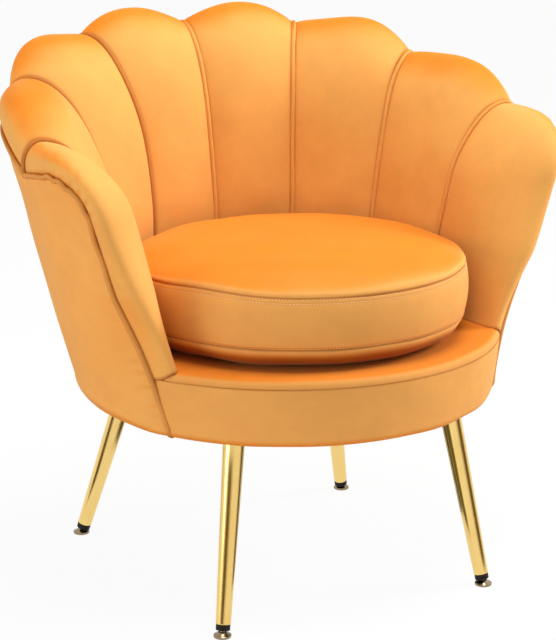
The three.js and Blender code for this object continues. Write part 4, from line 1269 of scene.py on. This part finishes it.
# Stitches: short rounded strokes laid along the lines, each with its ends drawn into the cloth.
def stitches(name, lines):
    place = np.array([-1.0, -0.9, -0.4, 0.4, 0.9, 1.0])
    size = stitch.radius * np.array([0, 0.7, 1, 1, 0.7, 0])[:, None]
    dip = stitch.lift - stitch.radius * 1.6 * np.abs(place) ** 3
    parts = []
    for line in lines:
        centre, along = spaced(line, stitch.pitch)
        near = fromAxis(centre, cushion.centreY)
        side = np.cross(along, near)
        middle = centre[:, None] + along[:, None] * (place * stitch.length / 2)[:, None]
        middle = middle + near[:, None] * dip[:, None]
        ring = ringOf(stitch.sides, near[:, None, None], side[:, None, None])
        parts.append(middle[:, None] + ring * size)
    return repeatedMesh(name, np.concatenate(parts), sharpAngle=80)


# The cushion is puffed and subdivided; its seams and rows of stitches are then bells of depth in it.
def addCushion():
    piece, stack = cushionMesh()
    puffUp(piece)
    mesh = subdivided(piece)
    points = pulled(mesh.vertices, "co").astype(float)
    fields = [mesh.attributes[name].data for name in ("fromTop", "fromLow")]
    fromTop, fromLow = (pulled(field, "value", 1).astype(float) for field in fields)
    seam = np.maximum(bell(fromTop, cushion.seamWidth), bell(fromLow, cushion.seamWidth))
    height = cushion.topSeam - cushion.bottomSeam
    rows = np.array(cushion.boxingRows)[cushion.stitchRows, None]
    sewn = bell(fromTop + height * rows, cushion.seamWidth).max(0)
    dent = cushion.seamDepth * seam + cushion.stitchDepth * sewn
    soft = cushion.unevenDepth * unevenness(points, cushion.unevenSize, 21) * (1 - seam)
    points = points + pulled(mesh.vertices, "normal") * (soft - dent)[:, None]
    movePoints(mesh, points)
    # Painted shade: dark in the seams and along the stitch rows, deep under the belly and fading towards its
    # middle, and faint down the boxing
    under = mix(cushion.shade, cushion.middleShade, smooth(-fromLow, *cushion.middleFrom))
    under = smooth(-fromLow, *cushion.shadeFrom) * under
    beside = cushion.sideShade * smooth(-fromTop, *cushion.sideFrom)
    shades = [seam * cushion.seamDark, sewn * cushion.stitchDark, under, beside]
    setField(piece, "crease", np.max(shades, axis=0))
    sewing = stitches("cushion_stitches", [points[stack[row]] for row in cushion.stitchRows])
    finished(sewing, "cushion", "velvet_piping", threadCord)
    mesh.polygons.foreach_set("use_smooth", np.ones(len(mesh.polygons), bool))
    replaced = ("cushion_core", "cushion_top", "cushion_base", "cushion_boxing")
    finished(piece, "cushion", "velvet", velvetCloth, *replaced)


# Zip round the back of the boxing: two tapes with teeth between them; its slider with its pull is the
# frame's own part
zipper = Values(
    halfArc=45,  # degrees
    width=0.010,
    thickness=0.0012,
    face=0.2383,
    toothPitch=0.0022,
    toothSize=(0.0016, 0.0034, 0.0012),  # along, up and out
    toothShift=0.0009,  # by turns up and down
    toothSpan=0.98,  # of the tape's length
    columns=90,
    sunk=0.0008,  # the tape's back lies this far in the boxing
    shade=0.35,
)


def blocks(name, centres, along, outward, size):  # small boxes with softened ends, in rows
    up = np.array([0, 0, 1.0])
    corner = np.array([(-1, -1), (1, -1), (1, 1), (-1, 1)]) / 2
    flat = corner[:, :1, None] * size[0] * along[:, None, None] + corner[:, 1:, None] * size[1] * up
    place = np.array([-0.5, -0.5, 0.3, 0.5, 0.5])
    spread = np.array([0, 1, 1, 0.7, 0])[:, None]
    shapes = centres[:, None, None] + flat * spread + (place * size[2])[:, None] * outward[:, None, None]
    return repeatedMesh(name, shapes, sharpAngle=40)


# The tape is a band round the boxing with a dip at its middle and edges; the teeth stand by turns a
# little above and below its middle.
def addZip():
    middle = (cushion.topSeam + cushion.bottomSeam) / 2
    half = radians(zipper.halfArc)
    lift = np.array([0, cushion.centreY - seatY, 0])
    turn = np.linspace(-half, half, zipper.columns)[:, None]
    rows = np.array([-0.5, -0.42, -0.06, 0, 0.06, 0.42, 0.5]) * zipper.width
    dip = np.array([0.5, 0, 0, 0.35, 0, 0, 0.5]) * zipper.thickness
    face = at(zipper.face + zipper.thickness - dip, turn, middle + rows) + lift
    back = at(zipper.face - zipper.sunk, turn, middle + rows) + lift
    tape = wallMesh("zip_tape_cloth", face, back, sharpAngle=60)
    setField(tape, "crease", zipper.shade)
    finished(tape, "cushion", "velvet_piping", pipingCloth, "zip_tape")
    count = int(2 * half * zipper.face / zipper.toothPitch)
    places = np.linspace(-half * zipper.toothSpan, half * zipper.toothSpan, count)
    level = middle + zipper.toothShift * (-1.0) ** np.arange(count)
    centres = at(zipper.face + zipper.thickness * 1.1, places, level) + lift
    teeth = blocks("zip_teeth", centres, sidewaysAt(places), outwardAt(places), zipper.toothSize)
    finished(teeth, "cushion", "nickel", nickelPlate)


addCushion()
addZip()
addDeck()
print("cushion and deck made")

# Legs with their collars and glides
leg = Values(
    topRadius=0.015,
    footRadius=0.0102,
    wall=0.0018,
    rows=24,
    rolled=0.0007,  # edge at the tube's foot
    cutLevel=0.2670,
    headLevel=0.2673,
    ends={
        "front": Values(inset=0.055, angle=135.84, splay=(0.0396, -0.0417)),
        "back": Values(inset=0.0503, angle=42.14, splay=(0.0615, 0.0645)),
    },
    around=72,
)
plug = Values(
    height=0.008,
    depth=0.014,  # up inside the tube
    radius=0.0097,
    fillet=0.0006,
    fit=0.0003,  # room round the stem and inside the tube
    below=0.0002,  # gap under the tube
)
glide = Values(
    radius=0.012,
    height=0.009,
    edge=0.0014,
    bevelRows=8,
    slope=0.0012,
    neckRadii=[0.0062, 0.0054],
    rises=[0.0034, 0.0044, 0.0062],  # heights of the rim, of the slope's end and of the neck's foot
    below=0.0016,  # the disc's top lies this far under the collar
    stemRadius=0.004,
    stemStart=0.004,
    stemLength=0.034,
    turns=9,
    ridge=0.0003,  # depth of the stem's ridges
)


# The head is at a radius and angle under the seat, and the foot is moved from it by the splay.
def legEnds(side, end):
    head = at(shell.footRadius - end.inset, radians(end.angle), leg.headLevel)
    foot = np.array([head[0] + end.splay[0], head[1] + end.splay[1], 0])
    return head * np.array([side, 1, 1]), foot * np.array([side, 1, 1])


# Rings square to an axis: the profile gives radii and places along it.
def turnedOn(foot, axis, radii, places):
    side = unit(np.cross(axis, np.array([0, 1.0, 0])))
    ring = ringOf(leg.around, side, np.cross(side, axis))
    return foot + axis * np.array(places)[:, None] + ring * np.array(radii)[:, None]


# Tapered tube with a rolled foot; its top is cut level under the plate.
def legTube(foot, axis, start, length):
    rolled = start + leg.rolled * np.array([0, 0.3, 1])
    places = np.concatenate([rolled, mix(start + 2 * leg.rolled, length, np.linspace(0, 1, leg.rows))])
    radii = mix(leg.footRadius, leg.topRadius, (places - start) / (length - start))
    radii[:2] -= [leg.rolled, leg.rolled * 0.3]
    outside = turnedOn(foot, axis, radii, places)
    inside = turnedOn(foot, axis, radii - leg.wall, places)
    for wall in (outside, inside):
        over = (leg.cutLevel - wall[:, -1, 2]) / axis[2]
        wall[:, -1] += over[:, None] * axis
    return np.concatenate([outside, inside[:, ::-1]], axis=1)


# Plug: a collar below the tube with filleted edges, and a sleeve up inside it.
def endPlug(foot, axis, start):
    low, top, deep = glide.height / axis[2], start - plug.below, start + plug.depth
    bore = leg.footRadius - leg.wall - plug.fit
    hole, r, fillet = glide.stemRadius + plug.fit, plug.radius, plug.fillet
    radii = [hole, r - fillet, r, r, r - fillet, bore, bore, hole]
    places = [low, low, low + fillet, top - fillet, top, top, deep, deep]
    return turnedOn(foot, axis, radii, places)


# Glide: a disc with a quarter round at its edge, stepping in to a neck.
def glideDisc(foot):
    bevel = np.linspace(0, pi / 2, glide.bevelRows)
    edge, r, top = glide.edge, glide.radius, glide.height - glide.below
    radii = [[0, r - edge], r - edge + edge * np.sin(bevel), [r, r - glide.slope, *glide.neckRadii, 0]]
    places = [[0, 0], edge - edge * np.cos(bevel), [*glide.rises, top, top]]
    return turnedOn(foot, np.array([0, 0, 1.0]), np.concatenate(radii), np.concatenate(places))


# Stem: a cosine of ridges along a rod.
def glideStem(foot, axis):
    places = np.linspace(glide.stemStart, glide.stemLength, glide.turns * 12)
    wind = 2 * pi * glide.turns * np.linspace(0, 1, len(places))
    ridged = glide.stemRadius - glide.ridge * (1 - np.cos(wind)) / 2
    radii = np.concatenate([[0], ridged, [0]])
    return turnedOn(foot, axis, radii, np.concatenate([places[:1], places, places[-1:]]))


# Each leg leans from its foot to its head, and all its pieces but the disc are turned on that axis.
def addLegs():
    for end, values in leg.ends.items():
        for way, side in (("left", -1), ("right", 1)):
            name = f"{end}_{way}"
            head, foot = legEnds(side, values)
            length = np.linalg.norm(head - foot)
            axis = (head - foot) / length
            start = (glide.height + plug.height) / axis[2]
            tube = loopMesh(f"gold_leg_{name}", legTube(foot, axis, start, length))
            finished(tube, "chair", "gold_steel", goldPlate, f"leg_{name}")
            collar = loopMesh(f"collar_{name}", endPlug(foot, axis, start), sharpAngle=35)
            finished(collar, "chair", "black_plastic", darkPlastic, f"end_plug_{name}")
            disc = roundMesh(f"foot_glide_{name}", glideDisc(foot), sharpAngle=35)
            finished(disc, f"glide_{name}", "nickel", nickelPlate, f"glide_{name}")
            stem = roundMesh(f"glide_stem_{name}", glideStem(foot, axis), sharpAngle=60)
            finished(stem, f"glide_{name}", "nickel", nickelPlate)


addLegs()
print("legs made")


# Materials on the frame's own parts
def dressFrame():
    woods = ["base_ring", "seat_hoop", "lower_rail", "top_rail", "arm_post_right", "arm_post_left"]
    woods += [f"back_upright_{k}" for k in range(1, 6)]
    webs = [f"webbing_{way}_{k}" for way in ("lengthways", "crossways") for k in (1, 2, 3)]
    plates = [f"leg_plate_{end}_{side}" for end in ("front", "back") for side in ("left", "right")]
    finishes = {
        woodBoard: woods,
        elasticWeb: webs,
        plateSteel: plates,
        foamPad: ["deck_pad"],
        dustCloth: ["dust_cover"],
        nickelPlate: ["zip_slider"],
    }
    for finish, names in finishes.items():
        for name in names:
            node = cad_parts[name]
            node.data.materials.clear()
            node.data.materials.append(finish)


dressFrame()
print("frame dressed")

# Studio: a white floor, a white surround and soft lamps
studio = Values(
    floorSize=60.0,
    floorColour=rgba(0.90, 0.90, 0.90),  # seen from above alone
    shadowShare=0.06,  # how much of the floor's own shading the camera sees, the rest is white
    dome={"Color": rgba(1.0, 0.985, 0.965), "Strength": 0.40},
    white={"Color": rgba(1, 1, 1), "Strength": 1.0},
    lamps={
        "key": Values(place=(2.7, -0.8, 2.0), size=1.3, power=73.0),
        "fill": Values(place=(-3.1, -0.3, 0.6), size=1.8, power=34.0),
        "top": Values(place=(0.1, -0.5, 3.1), size=1.6, power=60.0),
    },
    # Dark strips round each leg's foot, seen in its polish alone: degrees from the camera to the
    # strip's middle, and from there to its ends, where it fades to white.
    strips={
        "front_left": [(-22, 40), (120, 34)],
        "front_right": [(76, 44), (-104, 34)],
        "back_left": [(84, 36), (-50, 24)],
        "back_right": [(28, 40)],
    },
    stripColumns=16,
    stripReach=0.22,
    stripHeight=0.25,
    aim=(0.0, 0.0, 0.45),
)


def plainMesh(name, points, faces, look):  # for what isn't part of the chair
    mesh = bpy.data.meshes.new(name)
    mesh.from_pydata(points, [], faces)
    mesh.materials.append(look)
    return linked(name, mesh)


# Floor: white to the camera with a share of its own shading, and clear from below.
def floorLook(spot):
    own = spot.node("ShaderNodeBsdfDiffuse", None, {"Color": studio.floorColour})
    white = spot.node("ShaderNodeEmission", None, studio.white)
    above = spot.shaderMix(spot.seen() * (1 - studio.shadowShare), own, white)
    behind = spot.node("ShaderNodeNewGeometry", output="Backfacing")
    return spot.shaderMix(behind, above, spot.node("ShaderNodeBsdfTransparent"))


# One square, level with the glides' discs.
def makeFloor():
    half = studio.floorSize / 2
    corners = [(-half, -half, 0), (half, -half, 0), (half, half, 0), (-half, half, 0)]
    floor = plainMesh("floor", corners, [(0, 1, 2, 3)], material("white_floor", floorLook))


# Strip: dark cloth by the field "depth", fading to white.
def stripLook(spot):
    weave = spot.noise(300.0).blend(rgba(0.100, 0.090, 0.034), rgba(0.160, 0.140, 0.060))
    colour = spot.field("depth").between(0.0, 0.8).blend(rgba(0.95, 0.95, 0.95), weave)
    return spot.surface({"Base Color": colour, "Roughness": 0.9})


# Each strip is an upright band on an arc round a foot; its depth is a squared cosine along it.
def makeStrips():
    share = np.linspace(-1, 1, studio.stripColumns)
    grids = []
    for name, spans in studio.strips.items():
        low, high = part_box(f"glide_{name}")
        for middle, half in spans:
            turn = np.radians(camera.azimuth + middle + half * share)
            x = (low.x + high.x) / 2 + studio.stripReach * np.sin(turn)
            y = (low.y + high.y) / 2 - studio.stripReach * np.cos(turn)
            grids += [joined(x, y, z) for z in (0, studio.stripHeight)]
    points = np.array(grids).reshape(-1, 3)
    ids = np.arange(len(points)).reshape(-1, 2, len(share))
    faces = quads(ids[:, 0, :-1], ids[:, 0, 1:], ids[:, 1, 1:], ids[:, 1, :-1])
    strips = plainMesh("dark_strips", points.tolist(), faces.tolist(), material("dark_cloth", stripLook))
    setField(strips, "depth", np.tile(np.cos(share * pi / 2) ** 2, len(grids)))
    for ray in ("camera", "diffuse", "transmission", "volume_scatter", "shadow"):
        setattr(strips, f"visible_{ray}", False)


# White to the camera and in reflections, and a soft dome of light on the chair.
def makeSurround():
    world = bpy.data.worlds.new("studio")
    scene.world = world
    world.use_nodes = True
    world.node_tree.nodes.clear()
    sky = Signal(world.node_tree)
    dome = sky.node("ShaderNodeBackground", None, studio.dome)
    white = sky.node("ShaderNodeBackground", None, studio.white)
    sky.shaderMix(sky.seen(), dome, white).shown("ShaderNodeOutputWorld")


# Round soft lamps, all turned to the aim.
def makeLamps():
    for name, lamp in studio.lamps.items():
        data = bpy.data.lights.new(name, "AREA")
        data.shape = "DISK"
        data.size = lamp.size
        data.energy = lamp.power
        obj = linked(name, data)
        obj.location = lamp.place
        back = unit(np.array(lamp.place) - np.array(studio.aim))
        obj.rotation_euler = (acos(back[2]), 0, atan2(back[0], -back[1]))


makeFloor()
makeStrips()
makeSurround()
makeLamps()
scene.view_settings.view_transform = "Standard"
print("studio set")
